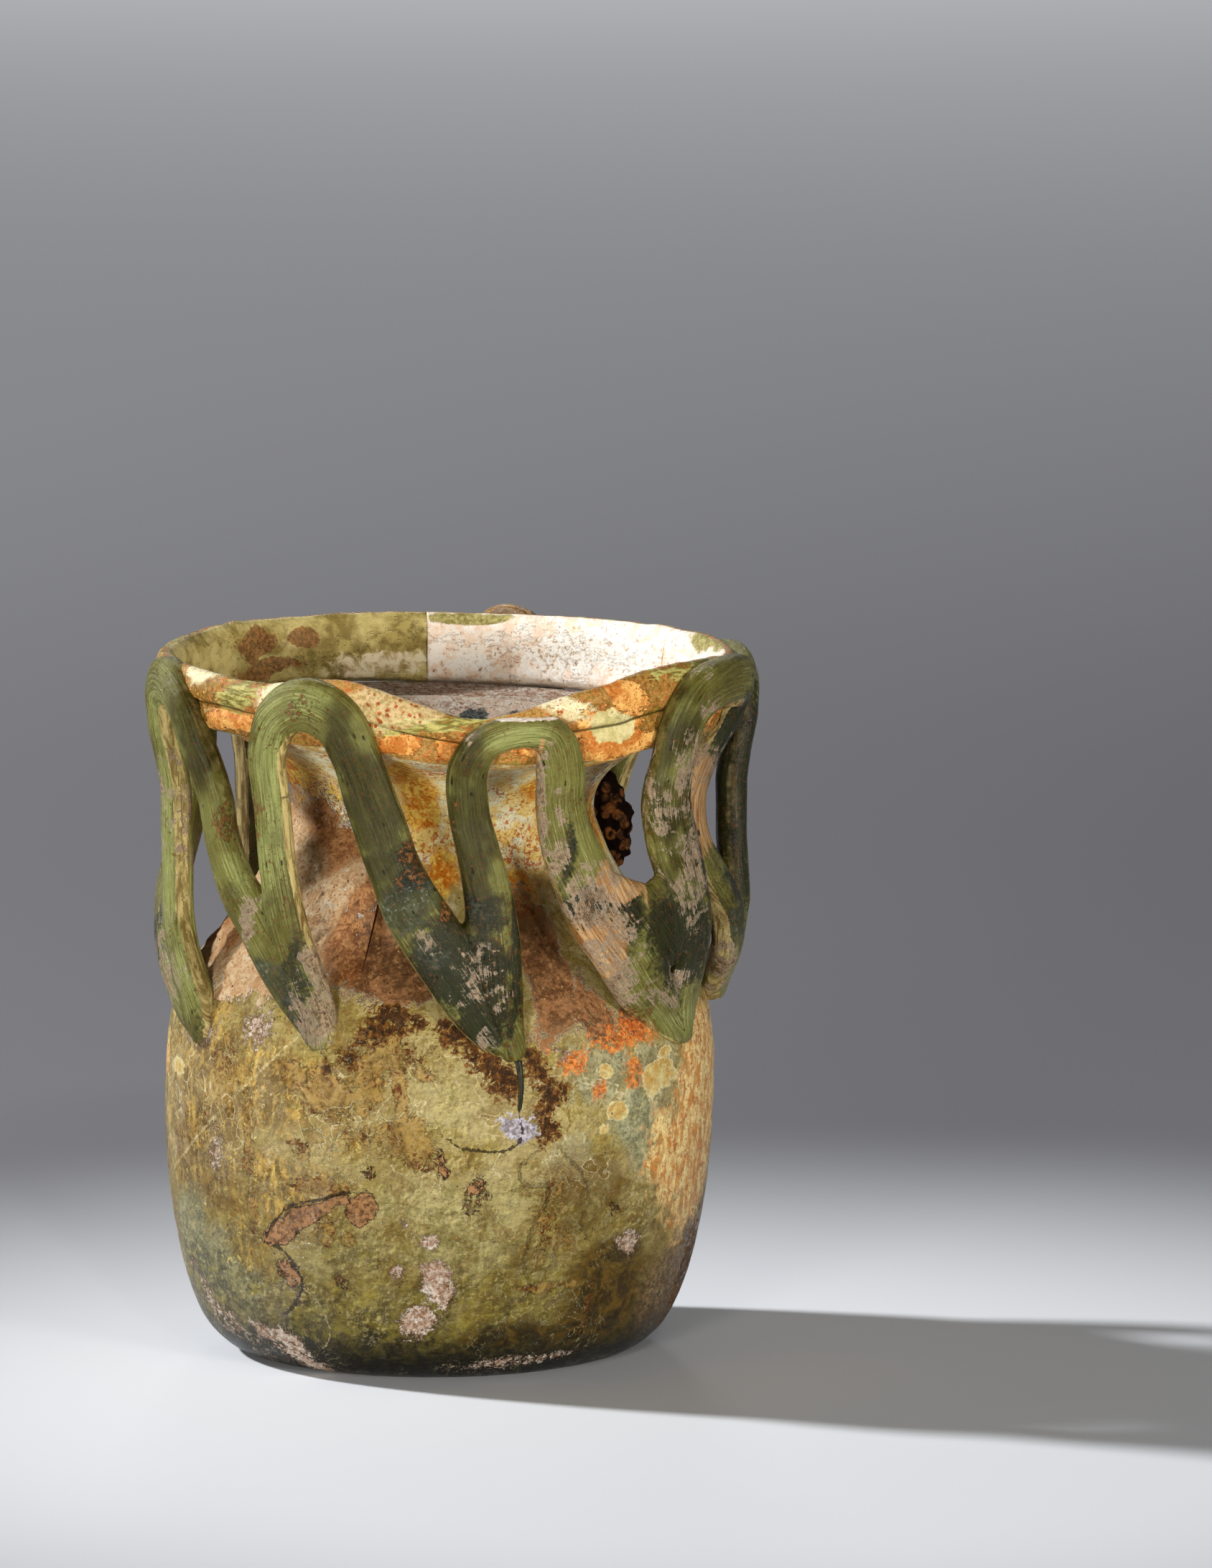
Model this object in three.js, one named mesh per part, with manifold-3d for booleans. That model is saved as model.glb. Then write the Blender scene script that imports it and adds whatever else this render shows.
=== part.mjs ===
// Blown glass jar with a folded rim and a zigzag trail of seven loops from the rim to the shoulder.
// Millimetres, +Z up. Azimuth 0 looks toward -Y and grows toward +X. The jar rests on z = 0.

import * as THREE from 'three';
import { mergeVertices } from 'three/addons/utils/BufferGeometryUtils.js';
import Module from 'manifold-3d';

const wasm = await Module();
wasm.setup();

// Driving dimensions of the blown vessel
const bodyRadius = 37.8;
const bodyWidestHeight = 38;
const restRadius = 25;
const restRingWidth = 5.5;
const basePushUp = 3.2;
const baseThickness = 3.6;
const wallThickness = 2.4;
const neckRadius = 20.6;
const neckRise = 37;
const flareRise = 12.2;

// Driving dimensions of the folded rim
const rimRadius = 40;
const foldWidth = 5.4;
const foldOverhang = 3.2;
const foldRise = 9.3;
const sherdStartDegrees = 124;
const sherdEndDegrees = 184;

// Driving dimensions of the trail
const trailStandOff = 1;
const trailFootProud = 0.74;
const trailTipRise = 7.5;
const trailCrestDrop = 1;
const trailWidth = 5.5;
const trailThickness = 4.2;

// Driving dimensions of the drip and the pontil scar
const dripWidth = 1.2;
const dripLength = 7;
const dripDegrees = 15.5;
const pontilRadius = 8;
const pontilWidth = 2;
const pontilHeight = 1.1;

// Driving dimensions of what burial left on the glass
const crustThickness = 1.2;
const neckCrustDegrees = [-98, -34];
const neckCrustShares = [0.46, 1.027];
const mouthCrustDegrees = [128, 180];
const mouthCrustShares = [0.164, 0.902];
const lumpDegrees = 120;
const lumpBottomShare = 0.676;
const lumpHeight = 15;
const lumpWidth = 8;
const lumpDepth = 9;

// Gap that two touching pieces keep
const clearance = 0.3;

// How the finished jar settled out of true: it leans, and its rim sags in front
const leanSlopeShare = 0.0175;
const rimSag = 4.9;
const rimLift = 1.1;
const sagDegrees = 6;
const sagLeftSpreadDegrees = 14;
const sagRightSpreadDegrees = 20;
const liftDegrees = 52;
const liftSpreadDegrees = 16;
const sagAtFoldShare = 0.3;

// Heights and radii that follow from them, each stretch standing on the one below
const neckHeight = bodyWidestHeight + neckRise;
const flareHeight = neckHeight + flareRise;
const rimHeight = flareHeight + foldRise;
const rimInnerRadius = rimRadius - foldWidth;
const flareRadius = rimRadius - foldOverhang;
const trailRadius = rimRadius + trailStandOff;
const trailFootRadius = bodyRadius + trailFootProud;
const trailTipHeight = bodyWidestHeight + trailTipRise;
const trailRise = rimHeight - trailCrestDrop - trailTipHeight;

// Fineness of the faceted surfaces
const roundSteps = 48;
const outlineSteps = 17;
const strapSteps = 30;
const strapSides = 8;
const strapSquarenessShare = 0.7;
const crustRings = 4;
const crustSides = 18;
const lumpDetail = 3;

// Outlines as shares of radius and height between the two named ends of each stretch
const pushUpEdgeShares = [0.4, 0.8];
const lowerBodyShares = [[0, 0], [0.24, 0.024], [0.46, 0.085], [0.62, 0.17], [0.78, 0.32], [0.93, 0.59], [1, 1]];
const shoulderShares = [[0.017, 0.16], [0.08, 0.3], [0.21, 0.41], [0.43, 0.53], [0.69, 0.69], [0.89, 0.85], [1, 1]];
const flareShares = [[0.05, 0.29], [0.25, 0.58], [0.6, 0.83], [0.88, 0.93], [1, 1]];
const foldShares = [
  [0.63, 0], [0.78, 0.09], [0.85, 0.26], [0.8, 0.45], [0.93, 0.52], [1, 0.72], [0.94, 0.92],
  [0.8, 1], [0.55, 0.97], [0.37, 0.78], [0.26, 0.39], [0.11, 0.14], [0, 0],
];

// Share of the rise at which the trail has swung out from the shoulder to its full radius
const trailSwingShare = 0.33;

// Share of the rise, outer radius of the trail as a share of its radius, and what its right side adds to that share
const trailBulgeShares = [
  [-0.1, 0.984, 0], [0, 1, 0], [0.06, 0.994, 0.005], [0.11, 0.997, 0.012], [0.17, 1.004, 0.02],
  [0.25, 1.007, 0.028], [0.33, 1, 0.033], [0.5, 0.988, 0.03], [0.66, 0.988, 0.026], [0.74, 1.003, 0.022],
  [0.83, 1.028, 0.02], [0.93, 1.04, 0.02], [1.1, 1.04, 0.02],
];

// Each loop from its left tip to its right tip: azimuth in degrees, share of the rise, share of the width,
// and where the loop bends in toward the neck, the share of its thickness by which it does
const loopShares = [
  [
    [-60, 0, 0.6], [-63.5, 0.09, 1], [-69, 0.2, 1.05], [-74, 0.33, 1], [-77, 0.5, 1], [-78, 0.68, 1],
    [-78, 0.84, 1], [-78, 0.93, 1.1], [-72, 0.975, 1.2], [-64, 0.93, 1.1], [-59, 0.82, 1], [-56, 0.7, 1],
    [-53.5, 0.58, 1], [-48.5, 0.46, 1.05], [-41, 0.35, 1.25], [-33.5, 0.21, 1.3], [-28, 0.09, 0.9], [-26, 0.02, 0.5],
  ],
  [
    [-26, 0.02, 0.6], [-26.5, 0.1, 1.05], [-29, 0.2, 1.25], [-32.8, 0.34, 1.1], [-36.5, 0.52, 1], [-38, 0.7, 1],
    [-37.5, 0.82, 1], [-34.5, 0.92, 1.15], [-28.5, 0.965, 1.35], [-21.5, 0.93, 1.3], [-17.7, 0.83, 1.24],
    [-15.5, 0.73, 1.33], [-13, 0.635, 1.4], [-9.6, 0.515, 1.42], [-5.5, 0.41, 1.6], [0.7, 0.28, 1.6],
    [6.1, 0.16, 1.4], [11, 0.07, 1], [14.8, 0.02, 0.5],
  ],
  [
    [16, 0, 0.55], [14.5, 0.05, 0.9], [12.2, 0.13, 1.2], [10.8, 0.25, 1.3], [9.8, 0.36, 1.35], [8.8, 0.46, 1.25],
    [6.8, 0.57, 1.1], [4.8, 0.68, 1.03], [4.4, 0.8, 1.03], [7.5, 0.87, 0.9], [14, 0.9, 0.85], [20, 0.885, 1],
    [22.8, 0.78, 1.25], [23.3, 0.7, 1.3], [25.3, 0.59, 1.45], [28.5, 0.49, 1.6], [32, 0.39, 1.7],
    [37.5, 0.294, 1.65], [44, 0.19, 1.5], [51.6, 0.11, 1.2], [57, 0.05, 0.9], [61, 0.01, 0.5],
  ],
  [
    [62, -0.005, 0.55], [60.5, 0.06, 1], [58.2, 0.14, 1.25], [57.8, 0.23, 1.35], [58, 0.34, 1.4], [56.2, 0.46, 1.4],
    [53, 0.57, 1.35], [50.6, 0.68, 1.3], [50, 0.78, 1.25], [50.8, 0.87, 1.2], [55, 0.945, 1.2], [65, 0.98, 1.2],
    [75, 0.965, 1.15], [79.5, 0.9, 1.05, 0.3], [75.5, 0.82, 1, 0.6], [71.5, 0.73, 1, 0.8], [69.5, 0.63, 1, 0.9],
    [70, 0.54, 1, 0.8], [73, 0.45, 1.05, 0.5], [79, 0.34, 1.2, 0.2], [84, 0.22, 1.2], [88, 0.12, 0.9],
    [90, 0.06, 0.5],
  ],
  [
    [90.5, 0.06, 0.5], [91, 0.14, 0.85], [91.5, 0.26, 1], [92, 0.42, 1], [92.5, 0.6, 1], [93, 0.77, 1],
    [95.5, 0.88, 1.1], [101, 0.93, 1.2], [109, 0.95, 1.2], [119, 0.92, 1.15], [128, 0.85, 1.1], [136, 0.77, 1],
    [141, 0.67, 1], [144, 0.57, 1], [147, 0.45, 1.05], [151, 0.3, 1.25], [155, 0.14, 1.1], [158, 0.02, 0.5],
  ],
  [
    [159, 0.02, 0.5], [158.5, 0.14, 0.85], [158, 0.3, 1], [158.5, 0.5, 1], [159, 0.7, 1], [160, 0.86, 1],
    [163.5, 0.965, 1.1], [168.5, 0.99, 1.15], [173, 0.93, 1.1], [177, 0.8, 1], [181, 0.66, 1], [188, 0.52, 1.05],
    [197, 0.39, 1.2], [207, 0.25, 1.3], [216, 0.11, 1], [222, 0.02, 0.5],
  ],
  [
    [222.5, 0.02, 0.5], [223, 0.15, 0.85], [224, 0.33, 1], [225, 0.52, 1], [225.5, 0.7, 1], [227, 0.85, 1],
    [231, 0.93, 1.15], [236, 0.91, 1.1], [240, 0.82, 1], [244, 0.71, 1], [249, 0.58, 1], [256, 0.45, 1.05],
    [266, 0.33, 1.2], [279, 0.2, 1.3], [291, 0.08, 0.95], [298.5, 0.02, 0.5],
  ],
];

const radians = THREE.MathUtils.degToRad;

// Materials, one for each kind of glass or deposit
const paint = (color, roughness) => new THREE.MeshStandardMaterial({ color, roughness, metalness: 0 });
const vesselGlass = paint(0x96905a, 0.35);
const rimGlass = paint(0x9a9358, 0.3);
const trailGlass = paint(0x6b7846, 0.3);
const darkGlass = paint(0x38452c, 0.3);
const limeCrust = paint(0xcdb8a0, 0.9);
const soil = paint(0x6e4a2e, 0.95);

// Linear reading of one column of a table whose first column rises
function readTable(rows, at, column = 1) {
  for (let i = 1; i < rows.length; i += 1) {
    const [before, after] = [rows[i - 1], rows[i]];
    if (at <= after[0]) {
      return THREE.MathUtils.lerp(before[column], after[column], (at - before[0]) / (after[0] - before[0]));
    }
  }
  return rows.at(-1)[column];
}

// Point at an azimuth, radius and height
function polar(azimuth, radius, height) {
  return [radius * Math.sin(azimuth), -radius * Math.cos(azimuth), height];
}

// Height that the sagged rim gains or loses at an azimuth
function rimDrop(azimuth) {
  const degrees = THREE.MathUtils.radToDeg(azimuth);
  const fromSag = degrees - sagDegrees;
  const spread = fromSag < 0 ? sagLeftSpreadDegrees : sagRightSpreadDegrees;
  const fromLift = degrees - liftDegrees;
  const swell = (offset, width) => Math.exp(-((offset / width) ** 2));
  return rimLift * swell(fromLift, liftSpreadDegrees) - rimSag * swell(fromSag, spread);
}

// Sags the rim, then leans the whole piece
function settle(geometry, sags) {
  const places = geometry.attributes.position;
  for (let i = 0; i < places.count; i += 1) {
    const x = places.getX(i);
    const y = places.getY(i);
    const z = places.getZ(i);
    const belowFold = THREE.MathUtils.smoothstep(z, neckHeight, flareHeight);
    const aboveFold = THREE.MathUtils.smoothstep(z, flareHeight, rimHeight);
    const weight = sagAtFoldShare * belowFold + (1 - sagAtFoldShare) * aboveFold;
    const drop = sags ? weight * rimDrop(Math.atan2(x, -y)) : 0;
    places.setXYZ(i, x + leanSlopeShare * z, y, z + drop);
  }
  return geometry;
}

// Closed solid of a geometry, with its faces turned outward
function solidOf(geometry) {
  geometry.deleteAttribute('normal');
  geometry.deleteAttribute('uv');
  const merged = mergeVertices(geometry);
  const corners = merged.index.array;
  const kept = [];
  for (let i = 0; i < corners.length; i += 3) {
    const [a, b, c] = corners.slice(i, i + 3);
    if (a !== b && b !== c && c !== a) kept.push(a, b, c);
  }
  const vertProperties = merged.attributes.position.array;
  const build = (order) =>
    new wasm.Manifold(new wasm.Mesh({ numProp: 3, vertProperties, triVerts: new Uint32Array(order) }));
  const solid = build(kept);
  return solid.volume() > 0 ? solid : build(kept.reverse());
}

// Largest separate body of a solid
function mainBody(solid) {
  return solid.decompose().reduce((best, body) => (body.volume() > best.volume() ? body : best));
}

// Drawable geometry of a solid
function geometryOf(solid) {
  const mesh = solid.getMesh();
  const geometry = new THREE.BufferGeometry();
  geometry.setAttribute('position', new THREE.BufferAttribute(mesh.vertProperties, 3));
  geometry.setIndex(new THREE.BufferAttribute(mesh.triVerts, 1));
  geometry.computeVertexNormals();
  return geometry;
}

// Named mesh of a solid
function piece(name, solid, material) {
  const mesh = new THREE.Mesh(geometryOf(solid), material);
  mesh.name = name;
  return mesh;
}

// Outline revolved about the jar's axis, then settled with the rim
function revolved(outline) {
  const geometry = new THREE.LatheGeometry(outline, roundSteps);
  return solidOf(settle(geometry.rotateX(Math.PI / 2), true));
}

// Outer curve of the vessel from the resting ring to the flare, points kept in order
function vesselCurve() {
  const { lerp } = THREE.MathUtils;
  const between = (shares, fromRadius, toRadius, fromHeight, toHeight) =>
    shares.map(([across, up]) =>
      new THREE.Vector2(lerp(fromRadius, toRadius, across), lerp(fromHeight, toHeight, up)));
  return new THREE.SplineCurve([
    ...between(lowerBodyShares, restRadius, bodyRadius, 0, bodyWidestHeight),
    ...between(shoulderShares, bodyRadius, neckRadius, bodyWidestHeight, neckHeight),
    ...between(flareShares, neckRadius, flareRadius, neckHeight, flareHeight),
  ]);
}

// Points of the vessel's outer curve moved along its normal
function offsetCurve(distance) {
  const curve = vesselCurve();
  const points = [];
  for (let i = 0; i <= outlineSteps; i += 1) {
    const share = i / outlineSteps;
    const tangent = curve.getTangentAt(share);
    const point = curve.getPointAt(share);
    points.push(new THREE.Vector2(point.x + distance * tangent.y, point.y - distance * tangent.x));
  }
  return points;
}

// Radius of the vessel's outer wall at a height, between the base and the flare
function wallRadius(height, distance) {
  const pairs = offsetCurve(distance).map((point) => [point.y, point.x]);
  return readTable(pairs, height);
}

// Blown vessel: pushed-in base, wall, shoulder, neck and flare, open at the top
function vesselSolid() {
  const floorHeight = basePushUp + baseThickness;
  const inner = offsetCurve(-wallThickness).filter((point) => point.y > floorHeight).reverse();
  const lip = new THREE.Vector2(flareRadius - wallThickness, flareHeight);
  const innerWall = inner.filter((point) => point.y < flareHeight - wallThickness / 2);
  return revolved([
    new THREE.Vector2(0, basePushUp),
    new THREE.Vector2(restRadius * pushUpEdgeShares[0], basePushUp * pushUpEdgeShares[1]),
    new THREE.Vector2(restRadius - restRingWidth, 0),
    ...offsetCurve(0),
    lip,
    ...innerWall,
    new THREE.Vector2(restRadius, floorHeight - baseThickness / 4),
    new THREE.Vector2(0, floorHeight),
  ]);
}

// Outline of the folded rim, grown by a margin on all sides
function foldOutline(margin) {
  const bottom = flareHeight + clearance;
  const middleRadius = (rimRadius + rimInnerRadius) / 2;
  const middleHeight = (bottom + rimHeight) / 2;
  return foldShares.concat([foldShares[0]]).map(([across, up]) => {
    const radius = THREE.MathUtils.lerp(rimInnerRadius, rimRadius, across);
    const height = THREE.MathUtils.lerp(bottom, rimHeight, up);
    return new THREE.Vector2(
      radius + margin * Math.sign(radius - middleRadius),
      height + margin * Math.sign(height - middleHeight),
    );
  });
}

// Upright sector between two azimuths, wide and tall enough to cut the rim
function sector(startDegrees, endDegrees) {
  const reach = 2 * rimRadius;
  const shape = new THREE.Shape([
    new THREE.Vector2(0, 0),
    new THREE.Vector2(...polar(radians(startDegrees), reach, 0)),
    new THREE.Vector2(...polar(radians((startDegrees + endDegrees) / 2), reach, 0)),
    new THREE.Vector2(...polar(radians(endDegrees), reach, 0)),
  ]);
  return solidOf(new THREE.ExtrudeGeometry(shape, { depth: 2 * rimHeight, bevelEnabled: false }));
}

// Outer radius of the trail at an azimuth and height
function trailOuterRadius(azimuth, height) {
  const rise = (height - trailTipHeight) / trailRise;
  const sideShare = readTable(trailBulgeShares, rise, 2) * Math.sin(azimuth);
  const swing = THREE.MathUtils.clamp(rise / trailSwingShare, 0, 1);
  const radius = THREE.MathUtils.lerp(trailFootRadius, trailRadius, swing);
  return radius * (readTable(trailBulgeShares, rise) + sideShare);
}

// One loop of trail as a closed strap, grown by a margin on all sides
function strapSolid(shares, margin) {
  const path = new THREE.CatmullRomCurve3(
    shares.map(([degrees, rise, width]) =>
      new THREE.Vector3(radians(degrees) * trailRadius, trailTipHeight + rise * trailRise, width * trailWidth)),
    false,
    'centripetal',
  );
  const dips = shares.map(([, , , dip = 0], i) => [i / (shares.length - 1), dip * trailThickness]);
  const places = [];
  const corners = [];
  const addPlace = (along, height, radial) => {
    const azimuth = along / trailRadius;
    const radius = trailOuterRadius(azimuth, height) - trailThickness / 2 + radial;
    places.push(...polar(azimuth, radius, height));
  };
  const rounded = (value) => Math.sign(value) * Math.abs(value) ** strapSquarenessShare;
  for (let i = 0; i <= strapSteps; i += 1) {
    const along = path.getUtoTmapping(i / strapSteps);
    const point = path.getPoint(along);
    const tangent = path.getTangent(along).setZ(0).normalize();
    const dip = readTable(dips, along);
    for (let k = 0; k < strapSides; k += 1) {
      const turn = (2 * Math.PI * k) / strapSides;
      const side = (point.z / 2 + margin) * rounded(Math.cos(turn));
      const radial = (trailThickness / 2 + margin) * rounded(Math.sin(turn)) - dip;
      addPlace(point.x - tangent.y * side, point.y + tangent.x * side, radial);
      const ring = i * strapSides;
      const next = (k + 1) % strapSides;
      if (i < strapSteps) {
        corners.push(ring + k, ring + next, ring + strapSides + k);
        corners.push(ring + next, ring + strapSides + next, ring + strapSides + k);
      }
    }
  }
  for (const [end, ring] of [[0, 0], [1, strapSteps * strapSides]]) {
    const point = path.getPointAt(end);
    const tip = places.length / 3;
    addPlace(point.x, point.y, 0);
    for (let k = 0; k < strapSides; k += 1) {
      const pair = [ring + k, ring + ((k + 1) % strapSides)];
      corners.push(tip, ...(end ? pair : pair.reverse()));
    }
  }
  const geometry = new THREE.BufferGeometry();
  geometry.setAttribute('position', new THREE.BufferAttribute(new Float32Array(places), 3));
  geometry.setIndex(corners);
  return solidOf(settle(geometry, false));
}

// Lens-shaped deposit on a wall, thick in the middle and thin at its edge
function crustSolid([startDegrees, endDegrees], fromHeight, toHeight, surfaceRadius, growth, sags) {
  const places = [];
  const corners = [];
  const addPlace = (share, turn, thickness) => {
    const degrees = THREE.MathUtils.lerp(startDegrees, endDegrees, (1 + share * Math.cos(turn)) / 2);
    const height = THREE.MathUtils.lerp(fromHeight, toHeight, (1 + share * Math.sin(turn)) / 2);
    places.push(...polar(radians(degrees), surfaceRadius(height) + thickness, height));
  };
  for (const swell of [0, growth]) {
    addPlace(0, 0, swell);
    for (let i = 1; i <= crustRings; i += 1) {
      for (let k = 0; k < crustSides; k += 1) {
        const share = i / crustRings;
        addPlace(share, (2 * Math.PI * k) / crustSides, swell * (i < crustRings ? 1 - share ** 3 : 1 / crustRings));
      }
    }
  }
  const stride = 1 + crustRings * crustSides;
  const at = (face, ring, k) => face * stride + (ring ? 1 + (ring - 1) * crustSides + (k % crustSides) : 0);
  for (let k = 0; k < crustSides; k += 1) {
    for (const face of [0, 1]) {
      const flip = (a, b, c) => corners.push(...(face ? [a, b, c] : [a, c, b]));
      flip(at(face, 0, 0), at(face, 1, k), at(face, 1, k + 1));
      for (let ring = 1; ring < crustRings; ring += 1) {
        flip(at(face, ring, k), at(face, ring + 1, k), at(face, ring + 1, k + 1));
        flip(at(face, ring, k), at(face, ring + 1, k + 1), at(face, ring, k + 1));
      }
    }
    corners.push(at(0, crustRings, k), at(0, crustRings, k + 1), at(1, crustRings, k + 1));
    corners.push(at(0, crustRings, k), at(1, crustRings, k + 1), at(1, crustRings, k));
  }
  const geometry = new THREE.BufferGeometry();
  geometry.setAttribute('position', new THREE.BufferAttribute(new Float32Array(places), 3));
  geometry.setIndex(corners);
  return solidOf(settle(geometry, sags));
}

// Solid that loops and deposits outside the jar are cut by: the filled vessel and the rim, both grown
const grownVessel = revolved([
  new THREE.Vector2(0, 0),
  ...offsetCurve(clearance),
  new THREE.Vector2(flareRadius + clearance, flareHeight + clearance),
  new THREE.Vector2(0, flareHeight + clearance),
]);
const grownRim = revolved(foldOutline(clearance));
const jarEnvelope = grownVessel.add(grownRim);

// Loops cut to sit on the jar, each right foot cut to lie beside the next loop's left foot
function loopSolids() {
  return loopShares.map((shares, i) => {
    const neighbour = loopShares[(i + 1) % loopShares.length];
    return mainBody(strapSolid(shares, 0).subtract(strapSolid(neighbour, clearance)).subtract(jarEnvelope));
  });
}

// Clump of soil that sits on the shoulder behind the loops
function soilLump() {
  const middle = bodyWidestHeight + lumpBottomShare * neckRise + lumpHeight / 2;
  const radius = wallRadius(middle, clearance) + lumpDepth / 3;
  const geometry = new THREE.IcosahedronGeometry(1, lumpDetail);
  geometry.scale(lumpWidth / 2, lumpDepth / 2, lumpHeight / 2);
  geometry.rotateZ(radians(lumpDegrees));
  geometry.translate(...polar(radians(lumpDegrees), radius, middle));
  return mainBody(solidOf(settle(geometry, false)).subtract(jarEnvelope));
}

// Thin thread of glass that ran down from the tip under the front loops
function dripSolid() {
  const top = trailTipHeight - 3 * clearance;
  const span = THREE.MathUtils.radToDeg(dripWidth / bodyRadius);
  const surface = (height) => wallRadius(height, clearance);
  return crustSolid([dripDegrees, dripDegrees + span], top - dripLength, top, surface, dripWidth / 2, false);
}

// Scar ring that the pontil rod left inside the pushed-in base
function pontilSolid() {
  const top = basePushUp * pushUpEdgeShares[1] - clearance;
  return revolved([
    new THREE.Vector2(pontilRadius - pontilWidth, top),
    new THREE.Vector2(pontilRadius - pontilWidth / 2, top - pontilHeight),
    new THREE.Vector2(pontilRadius, top),
    new THREE.Vector2(pontilRadius - pontilWidth, top),
  ]);
}

const vessel = vesselSolid();
const fold = revolved(foldOutline(0));
const jointDegrees = THREE.MathUtils.radToDeg(clearance / rimInnerRadius);
const rimSherd = fold.intersect(sector(sherdStartDegrees, sherdEndDegrees));
const rimFold = mainBody(fold.subtract(sector(sherdStartDegrees - jointDegrees, sherdEndDegrees + jointDegrees)));

const innerWallRadius = (height) => wallRadius(height, -wallThickness - 2 * clearance);
const outerWallRadius = (height) => wallRadius(height, clearance);

const neckCrustHeights = neckCrustShares.map((share) => bodyWidestHeight + share * neckRise);
const mouthCrustHeights = mouthCrustShares.map((share) => neckHeight + share * flareRise);
const neckCrust = mainBody(
  crustSolid(neckCrustDegrees, ...neckCrustHeights, outerWallRadius, crustThickness, true)
    .subtract(strapSolid(loopShares[0], clearance)),
);
const mouthCrust = crustSolid(mouthCrustDegrees, ...mouthCrustHeights, innerWallRadius, -crustThickness, true);

const jar = new THREE.Group();
jar.add(piece('vessel', vessel, vesselGlass));
jar.add(piece('rim_fold', rimFold, rimGlass));
jar.add(piece('rim_sherd', rimSherd, rimGlass));
loopSolids().forEach((solid, i) => jar.add(piece(`trail_loop_${i + 1}`, solid, trailGlass)));
jar.add(piece('trail_drip', dripSolid(), darkGlass));
jar.add(piece('pontil_scar', pontilSolid(), vesselGlass));
jar.add(piece('neck_lime_crust', neckCrust, limeCrust));
jar.add(piece('mouth_lime_crust', mouthCrust, limeCrust));
jar.add(piece('soil_lump', soilLump(), soil));

// The middle of the jar's outline stands over the origin
const middle = new THREE.Box3().setFromObject(jar).getCenter(new THREE.Vector3());
jar.position.set(-middle.x, -middle.y, 0);

export default jar;
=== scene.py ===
# Blown glass jar with a folded rim and a zigzag trail, dressed over its CAD frame.

import math
from types import SimpleNamespace

import bpy
import numpy as np
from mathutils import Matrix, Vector


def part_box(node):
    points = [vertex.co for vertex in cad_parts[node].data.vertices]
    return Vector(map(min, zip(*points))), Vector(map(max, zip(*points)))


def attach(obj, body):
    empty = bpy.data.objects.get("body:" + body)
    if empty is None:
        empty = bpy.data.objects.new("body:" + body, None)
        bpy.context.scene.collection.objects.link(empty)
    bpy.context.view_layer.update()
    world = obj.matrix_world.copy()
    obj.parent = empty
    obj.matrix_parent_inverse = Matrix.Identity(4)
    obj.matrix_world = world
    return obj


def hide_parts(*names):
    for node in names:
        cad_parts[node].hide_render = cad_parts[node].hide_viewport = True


bl_info = {
    "name": "Trailed glass jar",
    "version": (1, 0, 0),
    "blender": (4, 5, 0),
    "location": "View3D > Sidebar > Jar",
    "description": "Dresses a blown glass jar with a folded rim and a zigzag trail",
    "category": "Object",
}

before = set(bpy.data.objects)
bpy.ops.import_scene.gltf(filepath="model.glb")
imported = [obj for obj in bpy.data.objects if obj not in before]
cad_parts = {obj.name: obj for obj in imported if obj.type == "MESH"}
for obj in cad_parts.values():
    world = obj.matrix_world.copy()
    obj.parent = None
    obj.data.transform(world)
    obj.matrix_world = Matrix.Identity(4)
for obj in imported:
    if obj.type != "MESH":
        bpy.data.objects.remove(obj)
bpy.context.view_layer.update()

# Foot of the jar in the part's frame, and how far the jar leans toward plus x for each millimetre up
FOOT = np.array([-2.648, -0.148, 0.0])
LEAN = 0.0175

# Outlines as shares of radius and height between the ends of each stretch of the vessel
LOWER_BODY = [(0, 0), (0.24, 0.024), (0.46, 0.085), (0.62, 0.17), (0.78, 0.32), (0.93, 0.59), (1, 1)]
SHOULDER = [(0.017, 0.16), (0.08, 0.3), (0.21, 0.41), (0.43, 0.53), (0.69, 0.69), (0.89, 0.85), (1, 1)]
FLARE = [(0.05, 0.29), (0.25, 0.58), (0.6, 0.83), (0.88, 0.93), (1, 1)]
FOLD = [
    (0.63, 0), (0.78, 0.09), (0.85, 0.26), (0.8, 0.45), (0.93, 0.52), (1, 0.72), (0.94, 0.92), (0.8, 1),
    (0.55, 0.97), (0.37, 0.78), (0.26, 0.39), (0.11, 0.14), (0, 0),
]

# Azimuth in degrees, and how far the rim's top and the fold's foot stand above or below true, in millimetres
RIM_TOP = [
    (-180, 0.5), (-150, 0.8), (-129, 1.0), (-104, 0.1), (-64, 0.2), (-48, -0.4), (-37, -0.7), (-28, 0.5),
    (-19, 0.4), (-12, -1.0), (-4, -2.7), (3, -4.4), (7, -4.7), (15, -3.8), (24, -1.8), (36, -0.5), (43, 0.8),
    (52, 1.2), (66, 0.8), (88, -0.2), (102, 0.2), (134, 0.4), (180, 0.5),
]
FOLD_FOOT = [
    (-180, 0), (-120, 0.8), (-60, 1.3), (-48, 1.2), (-43, 0.6), (-17, 0.4), (-4, -1.3), (5, -1.6), (28, -1.6),
    (38, -1.9), (43, -1.0), (60, -0.3), (90, -0.5), (150, -0.6), (180, 0),
]

# Share of the trail's rise, outer radius of the trail as a share, and what its right side adds to that share
TRAIL_BULGE = [
    (-0.1, 0.984, 0), (0, 1, 0), (0.06, 0.994, 0.005), (0.11, 0.997, 0.012), (0.17, 1.004, 0.02),
    (0.25, 1.007, 0.028), (0.33, 1, 0.033), (0.5, 0.988, 0.03), (0.66, 0.988, 0.026), (0.74, 1.003, 0.022),
    (0.83, 1.028, 0.02), (0.93, 1.04, 0.02), (1.1, 1.04, 0.02),
]

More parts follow.
